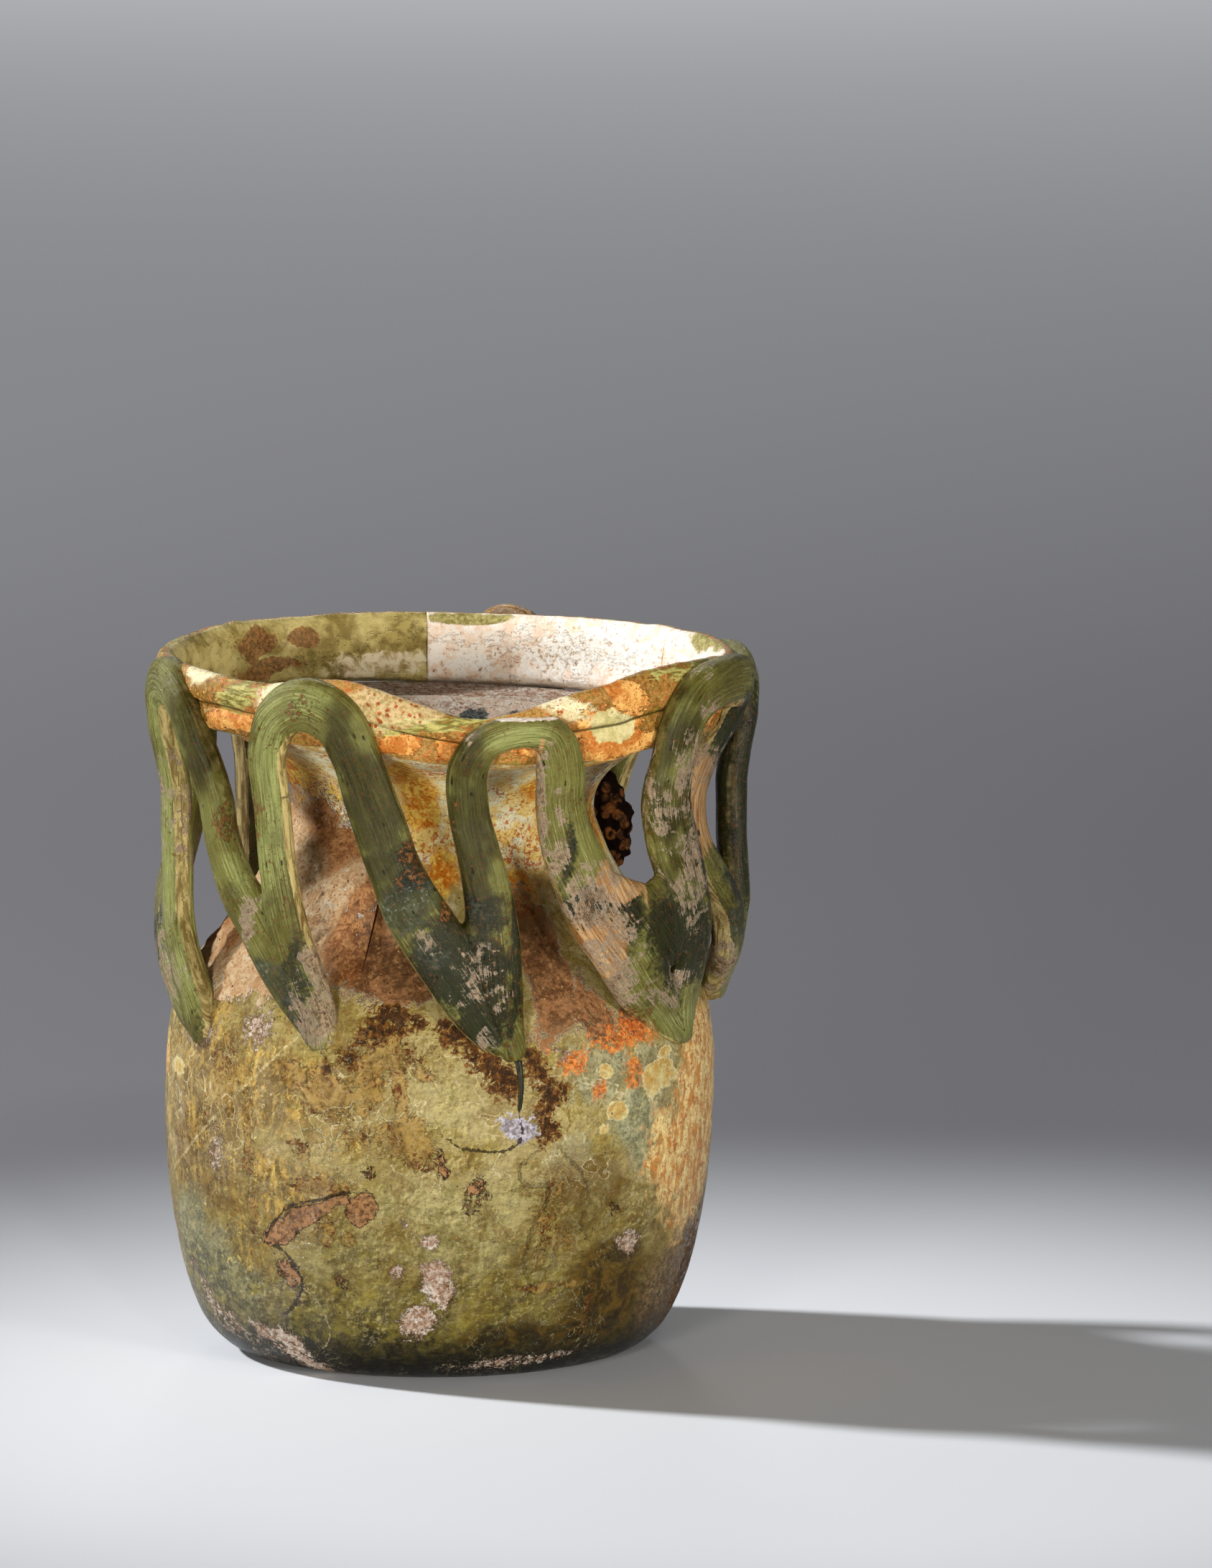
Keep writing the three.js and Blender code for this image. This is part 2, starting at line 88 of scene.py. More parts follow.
# Glass that ran together where the third and fourth loops meet, in the same rows as a loop
WEB = [
    (33, 0.47, 0.9), (38, 0.385, 1.9), (44, 0.325, 2.15), (50, 0.35, 2.4), (54, 0.39, 2.1), (57, 0.44, 1),
]

# Loops from left tip to right tip: azimuth in degrees, and shares of the rise, of the width and of a bend inward
LOOPS = [
    [
        (-60, 0, 0.6), (-63.5, 0.09, 1), (-69, 0.2, 1.05), (-74, 0.33, 1), (-77, 0.5, 1), (-78, 0.68, 1),
        (-78, 0.84, 1), (-78, 0.93, 1.1), (-72, 0.975, 1.2), (-64, 0.93, 1.1), (-59, 0.82, 1), (-56, 0.7, 1),
        (-53.5, 0.58, 1), (-48.5, 0.46, 1.05), (-41, 0.35, 1.25), (-33.5, 0.21, 1.3), (-28, 0.09, 0.9),
        (-26, 0.02, 0.5),
    ],
    [
        (-26, 0.02, 0.6), (-26.5, 0.1, 1.05), (-29, 0.2, 1.25), (-32.8, 0.34, 1.1), (-36.5, 0.52, 1),
        (-38, 0.7, 1), (-37.5, 0.82, 1), (-34.5, 0.92, 1.15), (-28.5, 0.965, 1.35), (-21.5, 0.93, 1.3),
        (-17.7, 0.83, 1.24), (-15.5, 0.73, 1.33), (-13, 0.635, 1.4), (-9.6, 0.515, 1.42), (-5.5, 0.41, 1.6),
        (0.7, 0.28, 1.6), (6.1, 0.16, 1.4), (11, 0.07, 1), (14.8, 0.02, 0.5),
    ],
    [
        (16, 0, 0.55), (14.5, 0.05, 0.9), (12.2, 0.13, 1.2), (10.8, 0.25, 1.3), (9.8, 0.36, 1.35),
        (8.8, 0.46, 1.25), (6.8, 0.57, 1.1), (4.8, 0.68, 1.03), (4.4, 0.8, 1.03), (7.5, 0.87, 0.9),
        (14, 0.9, 0.85), (20, 0.885, 1), (22.8, 0.78, 1.25), (23.3, 0.7, 1.3), (25.3, 0.59, 1.45),
        (28.5, 0.49, 1.6), (32, 0.39, 1.7), (37.5, 0.294, 1.65), (44, 0.19, 1.5), (51.6, 0.11, 1.2),
        (57, 0.05, 0.9), (61, 0.01, 0.5),
    ],
    [
        (62, -0.005, 0.55), (60.5, 0.06, 1), (58.2, 0.14, 1.25), (57.8, 0.23, 1.35), (57.2, 0.34, 1.55),
        (55, 0.46, 1.65), (51.6, 0.57, 1.65), (49.6, 0.68, 1.5), (50, 0.78, 1.35), (50.8, 0.87, 1.3),
        (55, 0.945, 1.3), (65, 0.98, 1.2), (75, 0.965, 1.15), (79.5, 0.9, 1.05, 0.3), (75.5, 0.82, 1, 0.6),
        (71.5, 0.73, 1, 0.8), (69.5, 0.63, 1, 0.9), (70, 0.54, 1, 0.8), (73, 0.45, 1.05, 0.5),
        (79, 0.34, 1.2, 0.2), (84, 0.22, 1.2), (88, 0.12, 0.9), (90, 0.06, 0.5),
    ],
    [
        (90.5, 0.06, 0.5), (91, 0.14, 0.85), (91.5, 0.26, 1), (92, 0.42, 1), (92.5, 0.6, 1), (93, 0.77, 1),
        (95.5, 0.88, 1.1), (101, 0.93, 1.2), (109, 0.95, 1.2), (119, 0.92, 1.15), (128, 0.85, 1.1),
        (136, 0.77, 1), (141, 0.67, 1), (144, 0.57, 1), (147, 0.45, 1.05), (151, 0.3, 1.25), (155, 0.14, 1.1),
        (158, 0.02, 0.5),
    ],
    [
        (159, 0.02, 0.5), (158.5, 0.14, 0.85), (158, 0.3, 1), (158.5, 0.5, 1), (159, 0.7, 1), (160, 0.86, 1),
        (163.5, 0.965, 1.1), (168.5, 0.99, 1.15), (173, 0.93, 1.1), (177, 0.8, 1), (181, 0.66, 1),
        (188, 0.52, 1.05), (197, 0.39, 1.2), (207, 0.25, 1.3), (216, 0.11, 1), (222, 0.02, 0.5),
    ],
    [
        (222.5, 0.02, 0.5), (223, 0.15, 0.85), (224, 0.33, 1), (225, 0.52, 1), (225.5, 0.7, 1), (227, 0.85, 1),
        (231, 0.93, 1.15), (236, 0.91, 1.1), (240, 0.82, 1), (244, 0.71, 1), (249, 0.58, 1), (256, 0.45, 1.05),
        (266, 0.33, 1.2), (279, 0.2, 1.3), (291, 0.08, 0.95), (298.5, 0.02, 0.5),
    ],
]

# Films, stains and painted glow on the vessel: azimuth, height, half width, half height, turn and strength, in
# degrees and mm
VESSEL_PATCHES = {
    "moss": [
        (-11.3, 50.6, 3, 2.2, 0, 1.05), (-5.4, 50.6, 2, 1, -20, 0.85), (-15.5, 49.6, 1.8, 1.4, 20, 0.85),
        (-19.4, 46.1, 1.1, 1.7, 0, 1), (-24.7, 44.1, 0.8, 1.1, 0, 1), (10.5, 44.6, 1.6, 2, 0, 1),
        (16.8, 47, 1.2, 2, 0, 1), (-14, 47.5, 0.5, 0.6, 0, 0.7), (-9.4, 47.1, 0.5, 0.7, 0, 0.7),
        (2.8, 49.1, 2.4, 1.6, -30, 1), (7.5, 46.5, 1.6, 2, 0, 1), (13.1, 42.3, 1.8, 2.4, 0, 0.95),
        (19.6, 43.5, 1.8, 3.3, 0, 1), (22, 38.9, 1.8, 3.9, 0, 1), (25.5, 40.6, 1.2, 1.4, 0, 0.95),
        (24, 36, 1.6, 1.2, 0, 0.9), (-30.5, 33.4, 1.7, 0.6, 0, 0.5), (36.4, 10.2, 0.6, 3.2, 0, 0.6),
        (-160, 50, 8, 3, 0, 0.9), (80, 12, 6, 8, 0, 0.7), (130, 46, 5, 3, 20, 0.8), (-110, 48, 4, 4, 0, 0.7),
    ],
    "amber": [
        (-12, 45.4, 6.5, 3, 0, 0.85), (25, 23.5, 3.4, 6, 0, 0.6), (-23.7, 40.5, 3.9, 2.6, 0, 0.95),
        (-14.3, 41, 2.1, 2.1, 0, 0.95), (-8, 40.4, 0.9, 3.8, 0, 0.9), (-6.4, 34.1, 3.6, 2.8, -10, 1),
        (-3.2, 43.6, 1.4, 1, 0, 0.95), (-31.5, 42.6, 1.5, 2, 0, 0.95), (-25.9, 27.9, 4.2, 1.2, 0, 0.95),
        (-29.2, 32.6, 1.7, 1.5, 0, 0.85), (-43.1, 30, 1.1, 11.2, 0, 0.75), (-24.1, 21.7, 1.6, 2.5, 0, 0.7),
        (-18.7, 20.8, 1.1, 1.4, 0, 0.8), (24.4, 13.8, 3.4, 0.8, 0, 0.7), (-58, 35.7, 2.9, 3, 0, 0.5),
        (-51.1, 44.7, 2.3, 3.3, 0, 0.7), (-19.1, 35.3, 1.5, 2, 0, 0.4), (-14.8, 35.5, 0.8, 2, 0, 0.7),
        (120, 40, 13, 11, 0, 0.8), (-130, 44, 15, 8, 0, 0.85), (170, 30, 12, 9, 0, 0.7),
        (-95, 30, 6, 12, 0, 0.8), (145, 22, 8, 5, 0, 0.8), (-160, 18, 9, 6, 0, 0.7), (96, 26, 5, 8, 0, 0.6),
    ],
    "copper": [
        (-34.5, 21.6, 3, 1.7, 30, 1.2), (-30, 23.6, 2.8, 1.3, 12, 1.15), (-25.5, 24.9, 2, 0.8, 10, 1.05),
        (-21.5, 26.2, 1.8, 0.7, 15, 1.05), (-16.2, 25.3, 1.9, 1.7, 0, 1.2), (-37.5, 20, 1.2, 1, 0, 1),
        (-14.5, 30, 1.4, 1.4, 0, 0.65), (0.6, 31.4, 1, 2.5, 0, 0.6), (7.5, 26.4, 2, 3.2, 0, 0.55),
        (-34.4, 15.1, 2.1, 2.6, 0, 0.7), (-20.9, 14.4, 1.1, 1.2, 0, 0.55), (40.3, 24.6, 1.4, 1.5, 0, 0.4),
        (150, 34, 4, 1.6, 30, 1), (-140, 28, 3, 1.5, -20, 1), (-105, 18, 2.5, 2, 0, 0.8),
    ],
    "film": [
        (26.2, 56.1, 3.4, 9.4, 0, 1.15), (34.5, 51.5, 3.5, 3.8, 0, 1.05), (45.1, 49.3, 3.9, 1.8, 20, 1),
        (-5, 56.6, 5, 3.8, 0, 1), (-16, 56.6, 8, 4, 0, 1.1), (-21, 62.5, 8, 5.5, 0, 1.3),
        (-150, 58, 16, 6, 0, 0.95), (100, 58, 14, 7, 0, 1), (-75, 56, 6, 6, 0, 0.8), (60, 56, 8, 5, 0, 0.9),
    ],
    "orange": [
        (42.3, 47.6, 5.6, 2, 0, 0.95), (29.1, 44.3, 1.8, 1.6, 30, 0.95), (43.4, 42.2, 2.6, 1.6, -40, 0.8),
        (34.6, 40.2, 0.9, 1.5, 0, 0.9), (38.7, 45.9, 0.6, 0.8, 0, 1), (23.6, 45.9, 0.8, 0.6, 0, 0.7),
    ],
    "straw": [
        (35.9, 42.8, 1, 1.1, 0, 1.1), (40.6, 36.8, 1.8, 1.5, 0, 1), (36.6, 34.7, 1.1, 0.8, 0, 0.7),
        (52.2, 40.7, 3.2, 2.6, 20, 1), (54.2, 44.3, 1.7, 1, 0, 0.8), (-70.5, 41, 3.5, 1.4, 0, 0.7),
    ],
    "verdigris": [
        (34.8, 42.8, 4.2, 5.3, 0, 1.05), (48.8, 34.9, 5.8, 6.5, 0, 0.95), (51.2, 43.6, 5.5, 2.4, 0, 0.8),
        (29.1, 32.8, 4.5, 4, 0, 0.5), (-68, 18, 7, 9, 0, 0.85), (-54, 14, 8, 5, -30, 0.8),
        (170, 46, 12, 5, 0, 0.8),
    ],
    # Painted gold glow of light through the glass
    "painted_glow": [
        (72.8, 39.1, 8.9, 9.8, 0, 1.2), (66.4, 29.8, 10.3, 8.3, 0, 1), (68.2, 23.6, 7.2, 6.4, 0, 0.7),
        (95, 40, 9, 13, 0, 0.9), (-82, 40, 4, 9, 0, 0.5),
    ],
    "tan": [
        (70.4, 11.2, 8.8, 10.7, -25, 1), (75.7, 1.4, 5.7, 4.5, -40, 0.9), (-71.5, 34.9, 5.2, 7.5, 0, 0.5),
    ],
    "light": [
        (6, 21.5, 9, 6, 0, 0.8), (-3.9, 26.3, 6.3, 4.6, 0, 1), (2.5, 39.6, 6.8, 5.8, 0, 0.8),
        (-29, 28.9, 5, 4, 0, 0.7), (-20.4, 17.3, 6.3, 4.1, 0, 0.6), (13.3, 28, 6, 4.5, 0, 0.7),
        (-26.8, 9.8, 2.2, 3.2, 0, 0.8), (21.9, 29.7, 6.9, 6.5, 0, 0.5), (150, 40, 16, 14, 0, 0.9),
        (-110, 30, 14, 14, 0, 0.9), (-60, 16, 6, 6, 0, 0.4),
    ],
    "umber": [
        (-60, 36, 12, 15, 0, 1), (-38, 41, 9, 7, 0, 0.8), (-32, 27, 8, 5, 0, 0.7), (-20, 36, 8, 5, 0, 0.5),
        (-45, 18, 8, 8, 0, 0.6), (140, 30, 18, 12, 0, 0.8), (-120, 30, 16, 12, 0, 0.8),
    ],
    "bronze": [
        (41.9, 11.9, 8.4, 7.6, 0, 1.1), (32, 26, 10, 8, 0, 0.6), (19.2, 6.9, 8.6, 2.2, 0, 0.8),
        (-59, 26.7, 10.8, 8.2, 0, 0.5), (-30.8, 43.6, 6.3, 6.7, 0, 0.35), (19, 17.3, 3.1, 4.1, 0, 0.5),
        (110, 18, 20, 10, 0, 0.9), (-150, 20, 20, 10, 0, 0.8),
    ],
    "lime": [
        (0.2, 15, 1.8, 2.5, 15, 1.15), (-3.8, 10, 2.3, 2.5, 0, 1.15), (-1.4, 20.3, 1.2, 1, 0, 1),
        (-8.6, 16.1, 0.9, 1.1, 0, 0.8), (-45.7, 6.2, 3.4, 1.1, -30, 0.8), (-38.9, 4.8, 3.4, 1.4, -35, 0.85),
        (-37.3, 2.4, 4.6, 1.3, -25, 0.8), (21.1, 3, 9.2, 0.9, 4, 0.6), (45.7, 18.1, 2.3, 2, -40, 0.95),
        (-53.7, 31.1, 2.1, 4, 0, 0.55), (-62, 47.2, 3.4, 2, 0, 0.75), (-43.5, 48.6, 2.6, 2.4, 0, 0.65),
        (-7.2, 23.1, 0.7, 0.6, 0, 0.7), (26.5, 45.7, 1.6, 0.9, 0, 0.5), (-62.6, 8.6, 9, 3, -40, 0.5),
        (-100, 66, 16, 12, 0, 0.9), (-47, 66, 10, 12, 0, 0.8), (150, 88, 34, 14, 0, 1.1),
        (115, 86, 16, 10, 0, 0.8), (-130, 12, 5, 3, 0, 0.9), (165, 8, 8, 2, 0, 0.9),
    ],
    "lilac": [
        (15.6, 36.8, 2.8, 1.6, 0, 1.1), (16.4, 35.3, 0.8, 1.1, 0, 1),
    ],
    # Cream neck, painted bright as if light shone through the glass
    "cream": [
        (-12.4, 76.7, 6.9, 6.8, 0, 1.1), (22.4, 74.5, 6.4, 9.8, 0, 1.1), (24.1, 63.8, 3.7, 2.7, 0, 0.9),
        (0, 80, 44, 14, 0, 0.75), (60, 80, 30, 14, 0, 0.9), (130, 74, 34, 14, 0, 0.9),
        (-150, 74, 34, 14, 0, 0.9),
    ],
    "ochre_neck": [
        (-7, 78.2, 3.2, 4.3, 0, 1.05), (0.6, 69.1, 1.9, 4.1, 0, 1), (25.1, 65.6, 2.7, 3.6, 0, 0.9),
        (-25.7, 59.8, 3.4, 5.7, 0, 1), (36.6, 81.9, 4.1, 4.1, 0, 1), (-11.9, 82.7, 3.5, 2.5, 0, 0.8),
        (70, 72, 5, 5, 0, 0.9), (120, 80, 9, 5, 0, 0.9), (-130, 78, 9, 6, 0, 0.9), (-70, 82, 9, 6, 0, 1),
        (48, 70, 4, 7, 0, 1),
    ],
}

# The same on the outside of the collar, inside the mouth, and on the two lime crusts, where the neck crust's
# table also holds a painted shadow
COLLAR_PATCHES = {
    "ochre": [
        (-10.1, 88.5, 3, 1.6, 5, 1.1), (0.2, 88.1, 2.2, 2, 0, 0.8), (34.2, 88.6, 7.2, 3.8, -8, 1.1),
        (37.6, 95, 3.7, 2.2, -35, 1), (-48.3, 90.3, 6.1, 2.2, 20, 1), (16.7, 87.1, 3.2, 1.1, 0, 0.7),
        (-75, 92, 12, 4, 0, 0.8), (75, 92, 14, 4, 0, 0.8), (-120, 91, 14, 4, 0, 0.9), (180, 91, 26, 4, 0, 0.8),
        (-20, 88, 5, 2, 0, 0.8),
    ],
    "speckle": [
        (-8.9, 94.5, 10.1, 2.8, 14, 1), (24.7, 92.2, 3.7, 0.7, -10, 0.6),
    ],
    "greenish": [
        (-5.1, 91.3, 8.2, 1, 4, 1.05), (-46, 93.9, 4, 1.8, 35, 1.1), (9.4, 93.1, 2.9, 0.7, 0, 0.9),
        (56.9, 96.9, 8.5, 1, 0, 0.8), (-95, 94, 14, 3, 0, 0.8), (140, 94, 20, 3, 0, 0.7),
    ],
    "milky": [
        (34.4, 90.2, 3.1, 2.1, 0, 1.25),
    ],
    "creamy": [
        (-36.3, 94.9, 2.9, 2.4, 20, 1), (21.6, 94, 7.9, 1.9, -18, 0.9), (-56.6, 97.3, 4.1, 2.2, 0, 0.9),
    ],
}
MOUTH_PATCHES = {
    "brown": [
        (-133.6, 94.5, 4.2, 2.2, 0, 1.1), (-147.4, 94.7, 2.5, 1.5, 0, 1.1), (-136.1, 90.7, 8.5, 1.4, 0, 0.8),
    ],
    "chalk": [
        (-164.6, 90, 7.5, 1.9, 0, 1), (-142, 93.7, 1.3, 0.8, 0, 0.6),
    ],
    "white": [
        (143.2, 92.3, 10.9, 3, 0, 1.1), (172.4, 90.9, 3, 1.5, 0, 0.6),
    ],
    "inolive": [
        (174.4, 96.5, 6.3, 0.8, 0, 1), (104.1, 96.9, 9.2, 2, 0, 0.8),
    ],
}
NECK_STAINS_AND_SHADOW = {
    "stain_and_shadow": [
        # The rows at -19 and -26 degrees paint the shadow cast across the crust, the others are stains
        (-19, 64, 4.5, 12, -12, 1.2), (-34, 77, 12, 6, 0, 1.15), (-26, 55, 8, 3, 0, 0.9),
        (-80, 60, 9, 4, 0, 0.7),
    ],
    "iris": [],
}
MOUTH_STAINS = {
    "stain_and_shadow": [
        (150, 84, 9, 1, 0, 0.7),
    ],
    "iris": [
        (171, 83.5, 3, 1.4, 0, 1), (164, 82.5, 2.4, 1.2, 0, 1), (178, 82, 1.6, 1, 0, 0.8),
        (157, 84, 1.6, 0.8, 0, 0.8),
    ],
}

# Fine lines on the vessel, each through its points by azimuth and height
LINES = {
    "straight": [
        (-77.2, 26), (-66.4, 29.9), (-53.9, 35.6), (-41.8, 42), (-34.9, 46.1), (-31.7, 47.9),
    ],
    "flake": [
        (2.2, 34.6), (4.1, 33.8), (7.8, 33.3), (11.6, 33.1), (14.6, 33.4), (16.4, 34.2), (17.1, 35.3),
        (16.9, 37.3),
    ],
    "worm": [
        (-39.9, 19.5), (-38.8, 20.8), (-36, 22.9), (-33.7, 24.4), (-29.9, 25.4), (-25.7, 26), (-22.2, 26.9),
        (-18.8, 27.4),
    ],
    "worm_low": [
        (-39.5, 19.3), (-36.1, 18.7), (-34.3, 18), (-32.7, 16.5), (-31, 13.8), (-35.4, 9.9), (-37.1, 9.2),
    ],
    "film_a": [
        (-33.1, 36.2), (-29.6, 37), (-26.2, 37.8), (-22.3, 38.9), (-19.1, 39), (-17.9, 40), (-16, 38.9),
        (-13.7, 38.5), (-10, 37.3), (-7, 38.8),
    ],
    "film_b": [
        (-30, 35.4), (-26.3, 35.9), (-23, 34.7), (-22.4, 33.2), (-23.7, 32), (-21.5, 30.3), (-17.3, 28.5),
    ],
    "film_c": [
        (-22.7, 33.4), (-20.5, 35.5), (-16.8, 36), (-14.9, 34.5), (-14.6, 32.5), (-16, 31),
    ],
    "low_line": [
        (-30.7, 13.3), (-28, 11.9), (-26.4, 9.9), (-25.6, 7.3), (-26.9, 5.6), (-28.8, 4.6),
    ],
    "ridge_a": [
        (19.6, 32.5), (16.6, 30.4), (18.8, 28.1), (22.8, 28.2), (23.2, 26.2), (20.6, 23.3), (19.4, 20.3),
        (18.7, 17.3), (20.7, 14.2),
    ],
    "ridge_b": [
        (27.5, 31.7), (31.5, 28.7), (32.9, 24.6), (31.3, 22.8), (33, 20.6),
    ],
    "stripe": [
        (-42.4, 41.9), (-42.5, 38), (-42.3, 32.1), (-43.1, 26),
    ],
}

# Colours, streaks and crusts of the trail, in rows like those of the vessel
TRAIL_PATCHES = {
    "bright": [
        (-35.2, 81.4, 3, 14.2, 0, 1), (-28.7, 84.8, 1.9, 3.5, 0, 0.7), (-43.9, 70.6, 2.4, 2.9, 0, 0.9),
        (-60.4, 56, 8.4, 5.7, -15, 0.9), (12.9, 89.3, 3.8, 1.4, 0, 0.9), (-25.3, 94.2, 3.9, 1.9, 0, 0.8),
        (-65.2, 86.6, 6.3, 5.2, 0, 0.8), (57.3, 49.1, 3.9, 2.7, 0, 0.6), (-70, 76, 5, 16, 0, 1.2),
        (182, 76, 5, 9, 0, 0.8), (240, 84, 4, 6, 0, 0.8), (108, 94, 6, 2, 0, 0.8),
    ],
    "olive": [
        (-54.7, 87.5, 4.3, 7, 0, 0.8), (-13.6, 79.8, 5, 9, -20, 1.2), (-18.5, 88.5, 3.5, 4.5, -20, 0.8),
        (-12, 71, 3.5, 6, -25, 1.1), (4.4, 76, 3.4, 12.7, 0, 1), (57, 76, 4, 9, 0, 0.8),
        (45.6, 87.1, 3.9, 8, 0, 1), (49.4, 73, 2.3, 5.9, 0, 0.7), (39.7, 52, 3.4, 2.1, 0, 0.5),
        (160, 70, 8, 20, 0, 0.8), (226, 70, 6, 18, 0, 0.7), (140, 80, 5, 10, 0, 0.6),
    ],
    "dark": [
        (9, 50.5, 4.5, 5, 0, 1), (-5.2, 72.6, 3.9, 5.3, -25, 0.8), (2.9, 58.1, 7.6, 6.5, -30, 1),
        (14.1, 60.9, 0.8, 14.3, 0, 1), (-30.7, 55.7, 2.6, 7.1, -20, 0.6), (32.5, 63.5, 6.4, 4.9, -20, 1.1),
        (49, 62.5, 4.5, 5.5, 0, 1.1), (53, 60.5, 5.6, 7.1, 0, 1.1), (8.1, 66.3, 3.7, 3.9, 0, 0.8),
        (83.2, 79.8, 8.2, 18.5, 0, 1.15), (62.6, 69.4, 2.8, 6.3, 0, 1), (24.1, 73.6, 1.1, 4.9, 0, 0.7),
        (-57.9, 48.6, 4.4, 3.2, 0, 0.5), (150, 54, 7, 6, 0, 0.9), (210, 56, 7, 6, 0, 0.9),
        (270, 56, 8, 5, 0, 0.8),
    ],
    "slate": [
        (-5.1, 68.1, 3.9, 4.6, -30, 1.1), (-36.1, 55.9, 3.8, 3.5, -40, 0.8), (7.8, 66.8, 2.4, 2.4, 0, 0.5),
        (-2.2, 60.6, 3.9, 2, -30, 0.5), (32, 62.5, 4, 3.4, -30, 0.7), (71.7, 59.7, 9, 3.7, 0, 0.9),
        (-31.2, 49.1, 2.8, 3.6, -30, 0.8),
    ],
    "pale": [
        (5.9, 56.1, 4, 4.5, -20, 0.5), (-4.3, 62, 2.4, 1.5, -40, 0.5), (8.8, 47.9, 2.6, 2.5, 0, 0.5),
        (-41.3, 64.2, 2, 4.1, 0, 0.9), (-24.5, 55.3, 2.5, 8.8, -10, 1), (18.5, 78.2, 1.1, 10.3, 0, 0.85),
        (22.2, 75.1, 1.3, 7.3, 0, 0.6), (29.4, 67, 4.6, 5, -30, 0.8), (34.3, 59.9, 6.5, 4.4, -35, 0.75),
        (50, 54.2, 5.1, 3.1, 0, 0.6), (38.1, 54.7, 4, 3, -30, 0.85), (46.9, 78.6, 2.2, 7.5, 0, 0.6),
        (56.1, 69.5, 3.6, 7.8, 0, 0.68), (57.7, 84.2, 6, 7.2, 10, 0.95), (76, 53.3, 7.8, 4.4, 0, 1.2),
        (2.7, 90.4, 1.2, 3.4, 20, 0.6), (-75.9, 72.8, 6.9, 8.9, 0, 0.5), (-59, 68.4, 1.7, 3.8, 0, 0.5),
        (-30.4, 52.7, 1.5, 4.1, 0, 0.5), (74.1, 79.2, 3.5, 5.8, 0, 0.8), (51.3, 97, 5.5, 1, 0, 0.6),
        (130, 60, 6, 7, 0, 0.7), (200, 66, 7, 6, 0, 0.7), (166, 97, 4, 2, 0, 0.7), (118, 92, 5, 2, 0, 0.6),
        (250, 70, 4, 6, 0, 0.7), (285, 54, 5, 4, 0, 0.8), (222, 50, 4, 4, 0, 0.9),
    ],
    "rust": [
        (-45.2, 76.4, 3.2, 3.9, 0, 0.85), (-3.8, 74.6, 3, 6.3, -35, 0.7), (1.7, 65.7, 1.2, 1.4, 0, 1.1),
        (-51.4, 53.8, 1.7, 7.8, 0, 0.9), (57.2, 89.2, 2.3, 1.5, 0, 1), (-28.6, 93.1, 2.1, 1.9, 0, 0.5),
        (-66.6, 72.7, 3.3, 3.9, 0, 0.6), (42.1, 50.3, 3.7, 1.6, -20, 0.5), (-57.1, 95.9, 1.4, 0.7, 0, 0.8),
        (168, 96, 4, 1.6, 0, 0.9), (150, 68, 2, 4, 0, 0.7), (232, 88, 2, 3, 0, 0.7),
    ],
    "tan": [
        (17.3, 78.2, 0.7, 11.3, 0, 1), (41.4, 78.5, 0.9, 12.9, 0, 1.1), (35.6, 69.1, 3.9, 2.9, -30, 0.9),
        (68.2, 77.3, 4.3, 7.1, 0, 1.05), (29.6, 58.7, 6.3, 8, -40, 0.75), (6.1, 83.4, 0.6, 0.6, 0, 0.3),
        (167, 96, 7, 4, 0, 1.4),
    ],
}

# Azimuth of the break through the rim
BREAK_AZIMUTH = 184

# Name and node of each stretch of the rim, its first and last azimuth in degrees, and its steps
RIM_SPANS = (
    ("folded_rim", "rim_fold", 184.2, 483.8, 640),
    ("rim_break_sherd", "rim_sherd", 124, BREAK_AZIMUTH, 150),
)

# Counts of points: around the vessel, round the fold, and along an outline that other pieces lie on
VESSEL_SIDES = 384
FOLD_POINTS = 88
WALL_POINTS = 400

# Height of the envelope table in millimetres, and its rows to a millimetre
ENVELOPE_TOP = 99
ENVELOPE_ROWS = 4

# Lengths in millimetres
BASE_THICKNESS = 3.6
BRIM_OVERLAP = 0.3
BROKEN_CREST_TOP = 92.2
NARROWEST_HALF = 1.6
BETWEEN_LOOPS = 150
PATCH_RADIUS = 38
FAR_GAP = 6.0
FLOOR_REACH = 6000
VOXEL = 0.32

# Trail: share of the rise where its swing outward ends, how squarish its section is, weight and depth of bends
SWING_SHARE = 0.33
OVAL_POWER = 0.72
BEND_WEIGHT = 6.0
BEND_DEPTH = 0.7

# Lamps: name, place and target in metres, size in metres, power in watts, colour
WHITE = (1.0, 1.0, 1.0)
WARM = (1.0, 0.955, 0.88)
LAMPS = (
    ("key", (-1.07, 0.36, 0.84), (0, 0, 0.05), 0.11, 23.5, WHITE),
    ("low_fill", (-0.5, -1.6, 0.16), (0, 0, 0.05), 0.35, 20.0, WARM),
    ("right_fill", (1.0, -1.2, 0.2), (0, 0, 0.05), 0.3, 14.5, WARM),
    ("far_floor", (0.0, 3.2, 1.5), (0.1, 3.2, 0), 0.6, 14.5, WHITE),
)


def length(name, description, default):
    """Property that holds a length in metres."""
    return bpy.props.FloatProperty(name=name, description=description, default=default, unit="LENGTH")


def tint(name, description, default):
    """Property that holds a colour."""
    return bpy.props.FloatVectorProperty(name=name, description=description, default=default, subtype="COLOR")


